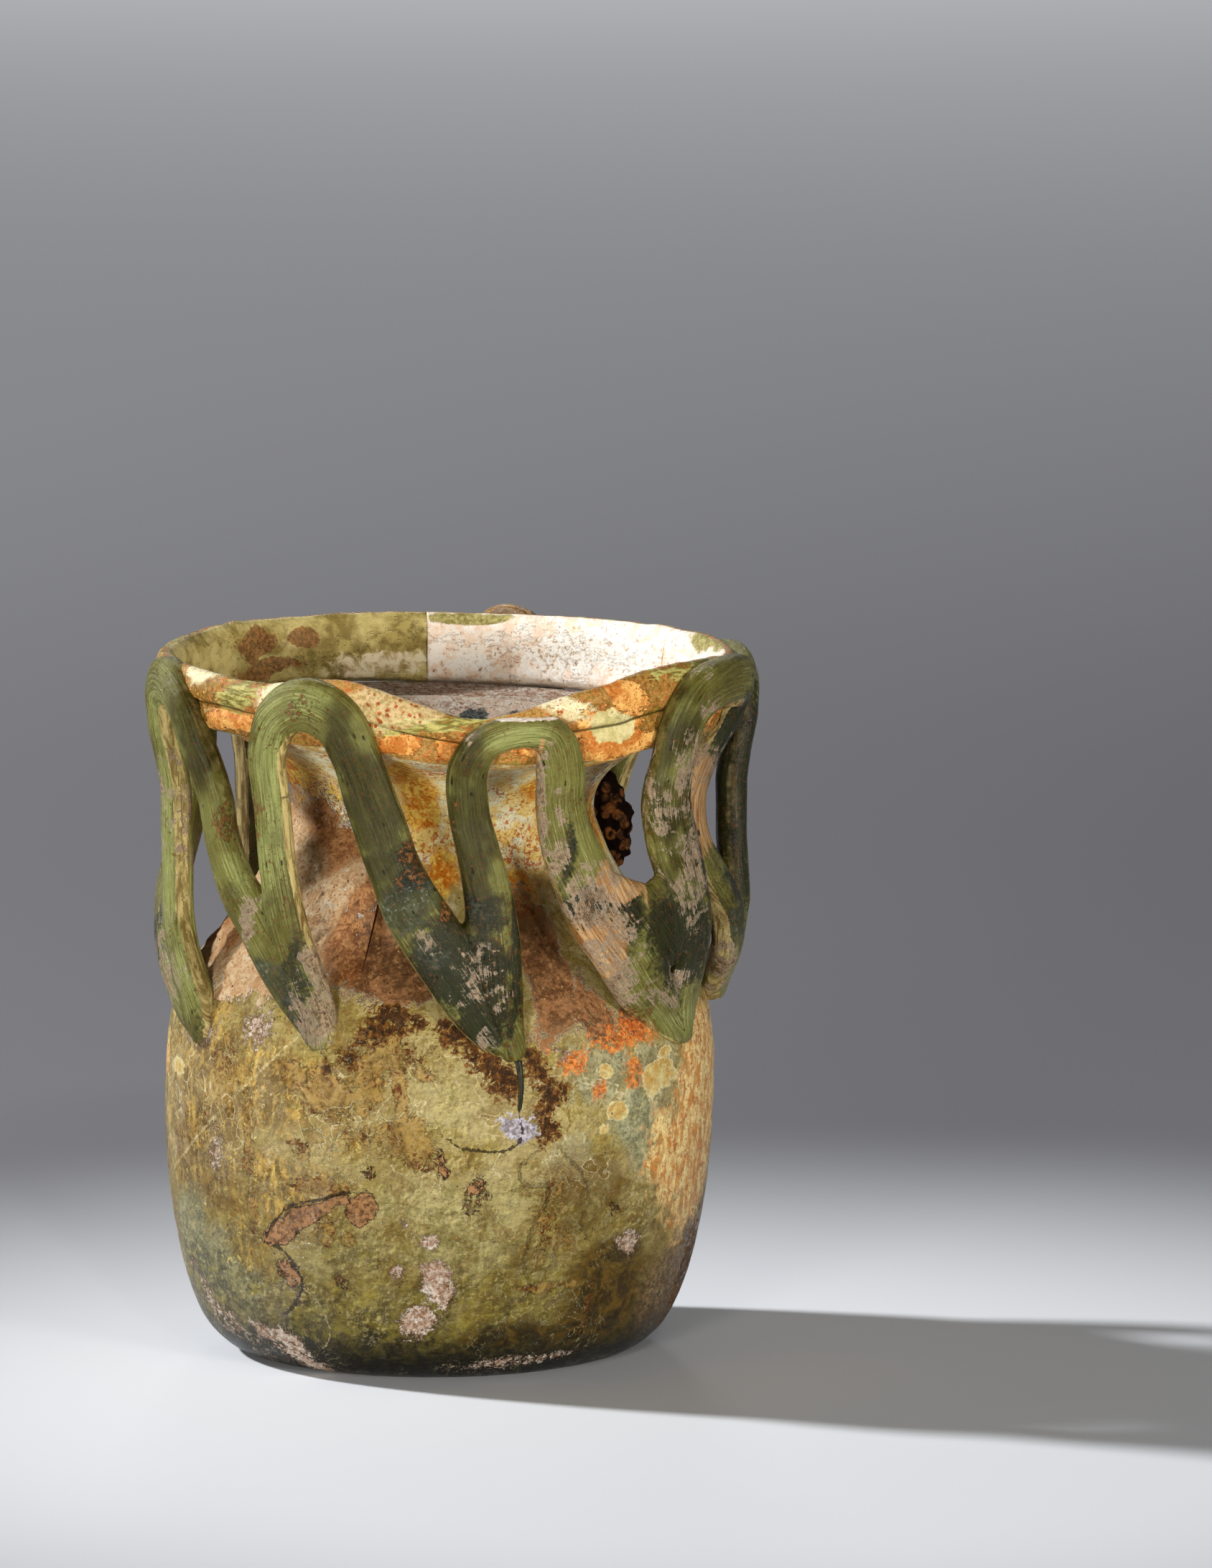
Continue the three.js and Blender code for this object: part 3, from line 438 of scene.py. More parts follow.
class JarSizes(bpy.types.PropertyGroup):
    """Sizes of the jar, in metres"""

    body_radius: length("Body radius", "Radius of the blown body at its widest", 0.0378)
    widest_height: length("Widest height", "Height at which the body is widest", 0.038)
    rest_radius: length("Resting radius", "Radius of the ring the jar rests on", 0.025)
    push_up: length("Push-up", "How far the base is pushed in", 0.0032)
    wall: length("Wall", "Thickness of the blown wall", 0.0024)
    neck_radius: length("Neck radius", "Outer radius of the neck", 0.0206)
    neck_height: length("Neck height", "Height of the narrowest place", 0.075)
    flare_radius: length("Flare radius", "Radius at which the flare meets the fold", 0.0368)
    flare_height: length("Flare height", "Height at which the flare meets the fold", 0.0872)
    rim_radius: length("Rim radius", "Outer radius of the folded rim", 0.04)
    fold_width: length("Fold width", "Width of the folded rim from inside to outside", 0.0054)
    rim_height: length("Rim height", "Height of the rim's top before it sagged", 0.0965)
    trail_radius: length("Trail radius", "Outer radius of the trail beside the rim", 0.041)
    trail_foot_radius: length("Trail foot radius", "Outer radius of the trail at its tips", 0.03854)
    trail_tip_height: length("Trail tip height", "Height of the trail's lower tips", 0.0455)
    trail_rise: length("Trail rise", "Height from the trail's tips to its crests", 0.05)
    trail_width: length("Trail width", "Width of the trail on its plain stretches", 0.0055)
    trail_thickness: length("Trail thickness", "Thickness of the trail", 0.0042)


class JarColours(bpy.types.PropertyGroup):
    """Colours of the glass and of what lies on it"""

    vessel: tint("Vessel glass", "Yellow-green glass of the body", (0.27, 0.2, 0.05))
    trail: tint("Trail glass", "Olive green glass of the trail", (0.15, 0.145, 0.03))
    lime: tint("Lime", "Pinkish lime left by burial", (0.7, 0.52, 0.4))
    soil: tint("Soil", "Soil caught behind the loops", (0.06, 0.025, 0.01))
    floor: tint("Floor", "Pale floor under the jar", (0.83, 0.86, 0.91))


def in_millimetres(context):
    """The jar's sizes as plain numbers in millimetres."""
    group = context.scene.jar_sizes
    return SimpleNamespace(**{name: getattr(group, name) * 1000 for name in JarSizes.__annotations__})


def srgb(red, green, blue):
    """Linear colour of three screen values from 0 to 255."""
    part = [v / 255 for v in (red, green, blue)]
    return tuple(p / 12.92 if p <= 0.04045 else ((p + 0.055) / 1.055) ** 2.4 for p in part) + (1.0,)


def noise(points, size, seed, octaves=1):
    """Smooth noise about zero: lattice values from a hash, blended by a smooth cube, octaves halving in size."""
    total = np.zeros(len(points))
    for octave in range(octaves):
        at = points / (size / 2 ** octave) + 7.3 * octave
        low = np.floor(at).astype(np.int64)
        part = at - low
        part = part * part * (3 - 2 * part)
        for corner in range(8):
            step = np.array([corner & 1, corner >> 1 & 1, corner >> 2 & 1])
            key = (low + step) @ np.array([73856093, 19349663, 83492791]) + (seed + octave) * 2654435
            key = (key ^ (key >> 13)) * 1274126177 & 0xFFFFFFFF
            value = ((key ^ (key >> 15)) & 0xFFFF) / 32767.5 - 1
            weight = np.prod(np.where(step, part, 1 - part), axis=1)
            total += value * weight / 2 ** octave
    return total


def crumbs(points, count, seed):
    """Distance from each point to the nearest of some scattered seeds, in the points' own unit."""
    spread = np.random.default_rng(seed)
    seeds = spread.uniform(points.min(0), points.max(0), (count, 3))
    best = np.full(len(points), np.inf)
    for spot in seeds:
        best = np.minimum(best, ((points - spot) ** 2).sum(1))
    return np.sqrt(best)


def smooth_curve(points, count):
    """Catmull-Rom curve through points, its knots spaced by the root of each chord, cut evenly by length."""
    points = np.asarray(points, float)
    ends = [2 * points[0] - points[1], *points, 2 * points[-1] - points[-2]]
    line = []
    for p0, p1, p2, p3 in zip(ends, ends[1:], ends[2:], ends[3:]):
        gaps = [max(np.linalg.norm(b - a), 1e-6) ** 0.5 for a, b in ((p0, p1), (p1, p2), (p2, p3))]
        t = np.linspace(0, 1, 16, endpoint=False)[:, None] * gaps[1]
        m1 = (p1 - p0) / gaps[0] - (p2 - p0) / (gaps[0] + gaps[1]) + (p2 - p1) / gaps[1]
        m2 = (p2 - p1) / gaps[1] - (p3 - p1) / (gaps[1] + gaps[2]) + (p3 - p2) / gaps[2]
        s = t / gaps[1]
        line.append((2 * s ** 3 - 3 * s ** 2 + 1) * p1 + (s ** 3 - 2 * s ** 2 + s) * gaps[1] * m1
                    + (3 * s ** 2 - 2 * s ** 3) * p2 + (s ** 3 - s ** 2) * gaps[1] * m2)
    line = np.vstack([*line, points[-1:]])
    reach = np.concatenate([[0], np.cumsum(np.linalg.norm(np.diff(line, axis=0), axis=1))])
    at = np.linspace(0, reach[-1], count)
    return np.stack([np.interp(at, reach, column) for column in line.T], 1)


def around(table, azimuth):
    """Reading of a table by azimuth that closes on itself, softened over a few degrees."""
    degrees = np.degrees(azimuth)
    rows = np.array(table, float)
    reads = [np.interp(degrees + shift, rows[:, 0], rows[:, 1], period=360) for shift in (-4, -2, 0, 2, 4)]
    return 0.1 * reads[0] + 0.2 * reads[1] + 0.4 * reads[2] + 0.2 * reads[3] + 0.1 * reads[4]


def smoothstep(value, low, high):
    """Share from 0 to 1 that eases in and out between two values."""
    share = np.clip((value - low) / (high - low), 0, 1)
    return share * share * (3 - 2 * share)


def settled_height(azimuth, height, mm):
    """Height after the rim sagged: nothing at the neck, the fold's foot by its table, the top by its own."""
    foot = smoothstep(height, mm.neck_height, mm.flare_height)
    top = smoothstep(height, mm.flare_height, mm.rim_height)
    return height + foot * (1 - top) * around(FOLD_FOOT, azimuth) + top * around(RIM_TOP, azimuth)


def placed(azimuth, radius, height):
    """Points in the part's frame in millimetres, with the whole jar's lean: x grows with height."""
    x = radius * np.sin(azimuth) + LEAN * height + FOOT[0]
    y = -radius * np.cos(azimuth) + FOOT[1]
    return np.stack(np.broadcast_arrays(x, y, height + FOOT[2]), -1)


def unplaced(points):
    """Azimuth, radius and height of points in the part's frame, without the lean."""
    x = points[..., 0] - FOOT[0] - LEAN * points[..., 2]
    y = points[..., 1] - FOOT[1]
    return np.arctan2(x, -y), np.hypot(x, y), points[..., 2]


def unit(vectors):
    """Vectors of the same directions, each one long."""
    return vectors / np.maximum(np.linalg.norm(vectors, axis=1), 1e-12)[:, None]


def full_turn(count):
    """Angles evenly spaced once round."""
    return np.linspace(0, 2 * np.pi, count, endpoint=False)


def vessel_outline(mm, count, inward=0.0):
    """Outer outline of the vessel from resting ring to flare, or the same moved inward along its normal."""
    def stretch(shares, r0, r1, h0, h1):
        return [(r0 + (r1 - r0) * across, h0 + (h1 - h0) * up) for across, up in shares]
    line = smooth_curve(
        stretch(LOWER_BODY, mm.rest_radius, mm.body_radius, 0, mm.widest_height)
        + stretch(SHOULDER, mm.body_radius, mm.neck_radius, mm.widest_height, mm.neck_height)
        + stretch(FLARE, mm.neck_radius, mm.flare_radius, mm.neck_height, mm.flare_height), count)
    slope = unit(np.gradient(line, axis=0))
    return line + inward * np.stack([-slope[:, 1], slope[:, 0]], 1)


def fold_outline(mm, count):
    """Closed outline of the folded rim, smooth through its table."""
    inner = mm.rim_radius - mm.fold_width
    foot = mm.flare_height + 0.05
    shares = np.array(FOLD[:-1] + FOLD[:1], float)
    wrapped = np.vstack([shares[-3:-1], shares, shares[1:3]])
    half = 8 * count
    line = smooth_curve(wrapped, 2 * half)
    start = np.argmin(((line[:half] - shares[0]) ** 2).sum(1))
    stop = half + np.argmin(((line[half:] - shares[0]) ** 2).sum(1))
    line = line[np.linspace(start, stop, count, endpoint=False).astype(int)]
    return np.stack([inner + mm.fold_width * line[:, 0], foot + (mm.rim_height - foot) * line[:, 1]], 1)


def patch_fields(tables, azimuth, height, radius):
    """For each table the strength of its nearest patch: full inside an ellipse, half on its edge, and fading to
    nothing outside. Noise bends the ellipses, the more so the larger they are."""
    at = np.stack([PATCH_RADIUS * np.sin(azimuth), -PATCH_RADIUS * np.cos(azimuth), height], 1)
    bend = [0.75 * noise(at, 6, seed, 3) for seed in (83, 97)]
    fields = {}
    for name, rows in tables.items():
        best = np.zeros(len(height))
        for degrees, middle, half_width, half_height, turn, strength in rows:
            away = (np.degrees(azimuth) - degrees + 180) % 360 - 180
            loose = min(2.6, 0.75 * min(half_width, half_height))
            u, v = np.radians(away) * radius + loose * bend[0], height - middle + loose * bend[1]
            c, s = math.cos(math.radians(turn)), math.sin(math.radians(turn))
            off = np.hypot((c * u + s * v) / half_width, (c * v - s * u) / half_height)
            best = np.maximum(best, strength * np.clip(1.5 - off, 0, 1))
        fields[name] = best
    return fields


def line_gap(points, azimuth, height, radius):
    """Distance in millimetres from a line through points, less than zero on its left."""
    rows = smooth_curve(np.array([(math.radians(a) * radius, h) for a, h in points]), 5 * len(points))
    u, best, gap = azimuth * radius, np.full(len(height), FAR_GAP), np.full(len(height), FAR_GAP)
    for (x0, y0), (x1, y1) in zip(rows, rows[1:]):
        length = math.hypot(x1 - x0, y1 - y0)
        share = ((u - x0) * (x1 - x0) + (height - y0) * (y1 - y0)) / length ** 2
        held = np.clip(share, 0, 1)
        away = np.hypot(u - x0 - held * (x1 - x0), height - y0 - held * (y1 - y0))
        side = np.where((x1 - x0) * (height - y0) - (y1 - y0) * (u - x0) < 0, -1.0, 1.0)
        closer = away < best
        best = np.where(closer, away, best)
        gap = np.where(closer, away * side, gap)
    return gap


def closed(rings, round_trip=False):
    """Places, quads and end triangles of a closed surface over rings of points. Each ring closes on itself and
    joins the next. The first and last ring fan to their centres, or join each other on a round trip."""
    count, sides = rings.shape[:2]
    places = rings.reshape(-1, 3)
    ring = np.arange(count if round_trip else count - 1)[:, None] * sides
    side = np.arange(sides)[None]
    after = (ring + sides) % (count * sides)
    nearby = (side + 1) % sides
    quads = np.stack([ring + side, ring + nearby, after + nearby, after + side], -1).reshape(-1, 4)
    fans = np.zeros((0, 3), int)
    if not round_trip:
        places = np.vstack([places, rings[0].mean(0), rings[-1].mean(0)])
        s, n = side[0], nearby[0]
        last = (count - 1) * sides
        first_fan = np.stack([n, s, np.full(sides, count * sides)], 1)
        last_fan = np.stack([last + s, last + n, np.full(sides, count * sides + 1)], 1)
        fans = np.vstack([first_fan, last_fan])
    a, b, c, d = (places[quads[:, k]] for k in range(4))
    volume = (a * np.cross(b, c)).sum() + (a * np.cross(c, d)).sum()
    if volume < 0:
        quads, fans = quads[:, ::-1], fans[:, ::-1]
    return places, quads, fans


def skin(name, rings, round_trip=False):
    """Object with the closed surface over rings of points."""
    return mesh_object(name, *closed(rings, round_trip))


def mesh_object(name, places, quads, triangles=()):
    """Object with a mesh of the given places in millimetres, shaded smooth."""
    triangles = np.asarray(triangles, int).reshape(-1, 3)
    mesh = bpy.data.meshes.new(name)
    mesh.vertices.add(len(places))
    mesh.vertices.foreach_set("co", (places / 1000).astype(np.float32).ravel())
    loops = np.concatenate([np.ravel(quads), triangles.ravel()]).astype(np.int32)
    sizes = np.concatenate([np.full(len(quads), 4), np.full(len(triangles), 3)])
    mesh.loops.add(len(loops))
    mesh.loops.foreach_set("vertex_index", loops)
    mesh.polygons.add(len(sizes))
    mesh.polygons.foreach_set("loop_start", (np.cumsum(sizes) - sizes).astype(np.int32))
    mesh.polygons.foreach_set("use_smooth", np.ones(len(sizes), bool))
    mesh.update(calc_edges=True)
    mesh.validate()
    piece = bpy.data.objects.new(name, mesh)
    bpy.context.scene.collection.objects.link(piece)
    return piece


def read(items, key, width=1, kind=np.float32):
    """Numbers that a mesh holds for each of its items, one row an item."""
    flat = np.zeros(len(items) * width, kind)
    items.foreach_get(key, flat)
    return flat.reshape(-1, width)


def places_of(mesh):
    """Places of a mesh's vertices in millimetres."""
    return read(mesh.vertices, "co", 3).astype(float) * 1000


def normals_of(piece):
    """Normals at a piece's vertices."""
    return read(piece.data.vertex_normals, "vector", 3).astype(float)


def move(piece, places):
    """Puts a mesh's vertices at new places in millimetres."""
    piece.data.vertices.foreach_set("co", (places / 1000).astype(np.float32).ravel())
    piece.data.update()


def store(piece, name, values):
    """Keeps one number at each vertex under a name that materials read."""
    layer = piece.data.attributes.new(name, "FLOAT", "POINT")
    layer.data.foreach_set("value", np.asarray(values, np.float32))


def store_patches(piece, tables, azimuth, height, radius):
    """Keeps the fields of some tables of patches on a piece."""
    for name, values in patch_fields(tables, azimuth, height, radius).items():
        store(piece, name, values)


def corners_of(node):
    """Lowest and highest corner of a CAD node in millimetres."""
    return np.array(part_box(node)) * 1000


def dress(piece, node, material):
    """Lets a piece ride on the jar, stand for its CAD node and take its finish."""
    piece.data.materials.clear()
    piece.data.materials.append(material)
    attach(piece, "root")
    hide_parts(node)


class Recipe:
    """A material built step by step; every step adds a node and gives back what it puts out."""

    def __init__(self, name, **values):
        self.material = bpy.data.materials.new(name)
        self.material.use_nodes = True
        self.tree = self.material.node_tree
        self.tree.nodes.clear()
        self.shader = self.tree.nodes.new("ShaderNodeBsdfPrincipled")
        out = self.tree.nodes.new("ShaderNodeOutputMaterial")
        self.tree.links.new(self.shader.outputs[0], out.inputs[0])
        for socket, value in values.items():
            self.shader.inputs[socket.replace("_", " ")].default_value = value
        where = self.tree.nodes.new("ShaderNodeTexCoord").outputs["Object"]
        self.place = self.add("ShaderNodeMapping", {"Vector": where, "Scale": (1000,) * 3}).outputs[0]
        self.colour = self.grade = self.grade_low = None

    def add(self, kind, inputs, **settings):
        """Node with its settings, and its inputs linked or set."""
        node = self.tree.nodes.new(kind)
        for key, value in settings.items():
            setattr(node, key, value)
        for key, value in inputs.items():
            if isinstance(value, bpy.types.NodeSocket):
                self.tree.links.new(value, node.inputs[key])
            else:
                node.inputs[key].default_value = value
        return node

    def math(self, operation, *values):
        """One step of arithmetic."""
        return self.add("ShaderNodeMath", dict(enumerate(values)), operation=operation).outputs[0]

    def times(self, a, b):
        """Product."""
        return self.math("MULTIPLY", a, b)

    def sum(self, *parts):
        """Sum, in which a pair is a part and its weight."""
        total, *rest = [self.times(*part) if isinstance(part, tuple) else part for part in parts]
        for part in rest:
            total = self.math("ADD", total, part)
        return total

    def vector(self, x, y, z):
        """Vector of three numbers."""
        return self.add("ShaderNodeCombineXYZ", {0: x, 1: y, 2: z}).outputs[0]

    def stretched(self, scale):
        """Object places, each axis by its own scale."""
        return self.add("ShaderNodeMapping", {"Vector": self.place, "Scale": scale}).outputs[0]

    def cloud(self, size, detail=4.0, rough=0.55, warp=0.0, at=None, shift=0.0):
        """Clouds of noise about one half, their size in millimetres."""
        inputs = {"Vector": at or self.place, "W": shift, "Scale": 1 / size, "Detail": detail,
                  "Roughness": rough, "Distortion": warp}
        return self.add("ShaderNodeTexNoise", inputs, noise_dimensions="4D").outputs[0]

    def cells(self, size, at=None, shift=0.0):
        """Distance from the middle of the nearest cell, in cells."""
        inputs = {"Vector": at or self.place, "Scale": 1 / size, "W": shift}
        return self.add("ShaderNodeTexVoronoi", inputs, voronoi_dimensions="4D").outputs[0]

    def painted_relief_light(self, size, detail, rough, step, shift=0.0, at=None):
        """Clouds less the same clouds a step aside: above nothing on one side of a bump, below on the other, for
        painting light and shade on bumps.
        """
        aside = self.add("ShaderNodeVectorMath", {0: at or self.place, 1: step}, operation="ADD").outputs[0]
        other = self.times(self.cloud(size, detail, rough, at=aside, shift=shift), -1.0)
        return self.sum(self.cloud(size, detail, rough, at=at, shift=shift), other)

    def kept(self, name):
        """Numbers kept at the vertices under a name."""
        return self.add("ShaderNodeAttribute", {}, attribute_name=name).outputs["Fac"]

    def ease(self, value, low, high, top=1.0, bottom=0.0):
        """Smooth step from the bottom at low to the top at high."""
        inputs = {"Value": value, "From Min": low, "From Max": high, "To Min": bottom, "To Max": top}
        return self.add("ShaderNodeMapRange", inputs, interpolation_type="SMOOTHSTEP").outputs[0]

    def over(self, amount, below, above):
        """One colour over another by an amount. Three numbers are a screen colour, four are a linear one."""
        pair = [srgb(*c) if isinstance(c, tuple) and len(c) == 3 else c for c in (below, above)]
        return self.add("ShaderNodeMix", {0: amount, 6: pair[0], 7: pair[1]}, data_type="RGBA").outputs[2]

    def two(self, dark, light, by=None, low=None, high=0.6):
        """Two colours graded by clouds, or by the material's own grade where none is named."""
        return self.over(self.ease(by or self.grade, low or self.grade_low, high), dark, light)

    def lay(self, amount, dark, *light, share=1):
        """Lays one colour, or two as in the step above, over the material so far by a share of an amount."""
        if share != 1:
            amount = self.times(amount, share)
        self.colour = self.over(amount, self.colour, self.two(dark, *light) if light else dark)

    def patch(self, name, clouds, spread):
        """Kept field of patches moved up and down by clouds, and where it may show: not where it is nothing."""
        field = self.kept(name)
        return self.sum(field, (self.sum(clouds, -0.5), 1.5 * spread)), self.ease(field, 0.03, 0.14)

    def broken(self, name, clouds, low=0.46, high=0.54, spread=0.9):
        """Ragged patches, full where the moved field passes the higher limit."""
        ragged, near = self.patch(name, clouds, spread)
        return self.times(self.ease(ragged, low, high), near)

    def film(self, name, clouds, spread):
        """Ragged patches with a sharp edge, and the narrow rim along it."""
        ragged, near = self.patch(name, clouds, spread)
        rim = self.times(self.ease(ragged, 0.38, 0.48), self.ease(ragged, 0.62, 0.52))
        return self.times(self.ease(ragged, 0.47, 0.53), near), self.times(rim, near)

    def layers(self, clouds, count):
        """Clouds cut into steps: a tone of its own for each step, and a thin line along the steps' edges."""
        scaled = self.times(clouds, count)
        floor = self.math("FLOOR", scaled)
        tone = self.add("ShaderNodeTexWhiteNoise", {"W": floor}, noise_dimensions="1D").outputs["Value"]
        return tone, self.ease(self.math("FRACT", scaled), 0.09, 0.03)

    def stroke(self, name, width, clouds):
        """Thin broken line where a kept gap is near nothing."""
        gap = self.math("ABSOLUTE", self.kept(name))
        near = self.sum(gap, (self.sum(clouds, -0.5), 1.6))
        return self.times(self.ease(near, width, 0.4 * width), self.ease(gap, 1.2, 0.8))

    def relief(self, height, depth, normal=None):
        """Bumps of a depth in millimetres, on top of earlier ones."""
        inputs = {"Height": height, "Distance": depth / 1000, "Strength": 1.0}
        if normal is not None:
            inputs["Normal"] = normal
        return self.add("ShaderNodeBump", inputs).outputs[0]

    def finish(self, rough, normal):
        """The material, with its colour, roughness and bumps linked."""
        for key, value in (("Base Color", self.colour), ("Roughness", rough), ("Normal", normal)):
            self.tree.links.new(value, self.shader.inputs[key])
        return self.material


def vessel_glass(context):
    """Weathered glass: olive in thin broken layers, then films, stains, ochre and lime laid over it, with
    painted light and shade on its bumps, painted glints and a painted glow of light through it.
    """
    colours = context.scene.jar_colours
    r = Recipe("weathered_vessel_glass", IOR=1.5, Specular_IOR_Level=0.2)
    coarse = r.cloud(9, 4, 0.6, 0.4)
    middle = r.cloud(2.6, 7, 0.68, 0.8, shift=1.0)
    fine = r.cloud(0.6, 5, 0.7, 0.5, shift=2.0)
    r.grade, r.grade_low = fine, 0.42
    grain = r.cloud(0.2, 3, 0.7, shift=5.0)
    edges = r.sum((middle, 0.6), (fine, 0.4))
    height = r.add("ShaderNodeSeparateXYZ", {0: r.place}).outputs[2]
    # Thin layers of weathered glass, each a step of its own tone with a pale line along its edge
    tone, line = r.layers(r.cloud(9, 8, 0.6, 1.1, shift=9.0), 15)
    r.colour = r.over(r.ease(coarse, 0.4, 0.6), tuple(colours.vessel) + (1,), (162, 142, 74))
    r.lay(r.ease(tone, 0.45, 0.0, 0.75), (104, 80, 28), (140, 114, 54), middle)
    r.lay(r.ease(tone, 0.7, 1.0, 0.75), (176, 158, 102))
    light = r.broken("light", coarse, 0.25, 0.75)
    r.lay(light, (144, 134, 78), (190, 178, 122), middle, 0.42, 0.58, share=0.85)
    tone, _ = r.layers(r.cloud(4.5, 8, 0.62, 0.9, shift=17.0), 11)
    r.lay(r.ease(tone, 0.62, 0.66, 0.5), (100, 70, 22), (144, 108, 50))
    r.lay(r.ease(tone, 0.3, 0.26, 0.5), (184, 168, 112))
    umber = r.broken("umber", edges, 0.3, 0.75, 1.8)
    run = r.cloud(1.1, 5, 0.65, 0.5, at=r.stretched((1, 1, 0.35)), shift=31.0)
    r.lay(umber, (92, 60, 8), (178, 138, 52), r.sum((edges, 0.6), (run, 0.4)), 0.46, 0.54, share=0.85)
    r.lay(r.times(umber, r.ease(run, 0.54, 0.6, 0.55)), (214, 180, 94))
    greyish = r.broken("verdigris", edges, 0.3, 0.7, 1.6)
    r.lay(greyish, (122, 124, 90), (178, 176, 140), edges, 0.44, 0.58, share=0.9)
    # Darker toward the bottom
    low = r.ease(r.sum(height, (coarse, 22)), 40, 12)
    r.lay(low, (30, 26, 0), (99, 90, 8), middle, 0.42, 0.58, share=0.85)
    # Painted light and shade on the small bumps of the body and on its smooth swells, each painted lighter on
    # one side and darker on the other
    painted_relief_light = r.painted_relief_light(1.2, 5, 0.6, (0.24, 0.0, -0.24), 27.0)
    body = r.ease(height, 54, 46, 0.42)
    painted_bump_zone = r.times(body, r.ease(coarse, 0.42, 0.6, 0.4, 1.0))
    r.lay(r.times(painted_bump_zone, r.ease(painted_relief_light, 0.025, 0.11)), (224, 208, 138))
    r.lay(r.times(painted_bump_zone, r.ease(painted_relief_light, -0.025, -0.11)), (60, 42, 6))
    swell = r.painted_relief_light(3.4, 4, 0.5, (0.6, 0.0, -0.7), 29.0)
    painted_swell_zone = r.ease(r.sum(height, (coarse, 20)), 38, 18, 0.6)
    r.lay(r.times(painted_swell_zone, r.ease(swell, 0.03, 0.14)), (160, 146, 60))
    r.lay(r.times(painted_swell_zone, r.ease(swell, -0.03, -0.14)), (36, 28, 0))
    # Bronze and tan films
    bronze = r.broken("bronze", middle, 0.25, 0.8, 1.3)
    r.lay(bronze, (50, 34, 2), (104, 78, 18), middle, share=0.9)
    tan = r.broken("tan", middle, 0.25, 0.75, 1.3)
    r.lay(tan, (84, 62, 34), (150, 120, 86), share=0.8)
    # Near black low down by the foot
    deep = r.ease(r.sum(height, (middle, 6)), 13.5, 5.5)
    r.lay(deep, (3, 3, 0), (22, 20, 1))
    # Thin sheets lifting between mid body and shoulder, pale along their seams
    sheet, seam = r.layers(r.cloud(6.5, 3, 0.5, 0.6, shift=41.0), 6)
    sheets = r.times(r.ease(r.cloud(8, 3, shift=43.0), 0.47, 0.53),
                     r.times(r.ease(height, 52, 44), r.ease(height, 24, 32)))
    r.lay(r.times(sheets, r.ease(sheet, 0.5, 0.55, 0.35)), (150, 130, 84), (176, 160, 118), middle)
    r.lay(r.times(sheets, r.ease(sheet, 0.3, 0.25, 0.4)), (98, 66, 22), (138, 102, 48), middle)
    r.lay(r.times(sheets, r.times(seam, r.ease(fine, 0.4, 0.52, 0.7, 0.2))), (226, 214, 172))
    # Cream neck painted bright as if light shone through the glass, with amber stains; a painted gold glow of
    # light through the glass on the right side, with freckles; and painted glints
    neck = r.broken("cream", middle, 0.2, 0.8)
    r.lay(neck, (255, 222, 132), (255, 252, 214), middle, 0.44, 0.56)
    r.lay(r.times(neck, r.ease(r.sum(fine, (coarse, 0.4)), 0.73, 0.78, 0.9)), (204, 100, 20))
    amber_neck = r.broken("ochre_neck", middle, 0.3, 0.7, 1.4)
    r.lay(amber_neck, (214, 120, 16), (255, 216, 100), edges, 0.45, 0.56)
    painted_glow = r.broken("painted_glow", middle, 0.3, 0.7, 1.2)
    r.lay(painted_glow, (214, 144, 62), (255, 230, 158), r.sum((run, 0.6), (middle, 0.4)), 0.43, 0.55)
    # Painted glints on the umber films
    glints = r.times(r.ease(r.cloud(1.4, 6, 0.75, 1.2, shift=23.0), 0.58, 0.63),
                     r.ease(r.kept("umber"), 0.2, 0.5, 0.8))
    r.lay(glints, (232, 206, 118))
    freckles = r.ease(r.sum((middle, 0.5), (fine, 0.5)), 0.52, 0.56, 0.8)
    r.lay(r.times(painted_glow, freckles), (184, 98, 26))
    # Films: amber, brown, copper and straw, each with its rim, then orange, moss, lilac and lime
    amber, amber_rim = r.film("amber", edges, 3.4)
    r.lay(amber, (116, 82, 26), (172, 138, 70), middle, share=0.7)
    rusty = r.times(r.ease(r.kept("amber"), 0.15, 0.5), r.ease(fine, 0.52, 0.555, 0.95))
    r.lay(r.times(rusty, r.ease(r.cloud(2.4, 3, shift=21.0), 0.46, 0.53)), (98, 46, 10))
    r.lay(amber_rim, (90, 56, 18), share=0.4)
    film, film_rim = r.film("film", edges, 1.6)
    r.lay(film, (92, 52, 28), (156, 106, 68), edges, 0.44, 0.56, share=0.9)
    r.lay(r.times(film, r.ease(fine, 0.6, 0.66, 0.7)), (214, 176, 112))
    r.lay(film_rim, (222, 202, 164), share=0.6)
    copper, copper_rim = r.film("copper", edges, 1.7)
    r.lay(copper, (104, 64, 34), (178, 128, 84), edges, 0.43, 0.57, share=0.9)
    r.lay(r.times(copper, r.ease(fine, 0.47, 0.4, 0.7)), (78, 48, 24))
    r.lay(copper_rim, (50, 30, 14), share=0.85)
    tufts = r.sum((r.cloud(1.0, 6, 0.75, 0.8, shift=33.0), 0.75), (fine, 0.25))
    straw, straw_rim = r.film("straw", edges, 1.4)
    r.lay(straw, (204, 160, 78), (222, 206, 140), middle, share=0.85)
    r.lay(straw_rim, (236, 224, 172), share=0.6)
    orange, _ = r.film("orange", tufts, 4.4)
    r.lay(orange, (176, 78, 20), (236, 148, 66), share=0.9)
    moss, _ = r.film("moss", tufts, 4.6)
    moss_core = r.ease(r.sum(r.kept("moss"), (r.sum(tufts, -0.5), 6.9)), 0.62, 0.9)
    r.lay(moss, r.over(moss_core, r.two((104, 62, 18), (150, 96, 34)), r.two((36, 22, 6), (84, 50, 16))))
    r.lay(r.ease(fine, 0.43, 0.35, 0.4), (80, 54, 16))
    dots = r.times(r.ease(r.cells(0.9, shift=3.0), 0.24, 0.14), r.ease(coarse, 0.46, 0.58))
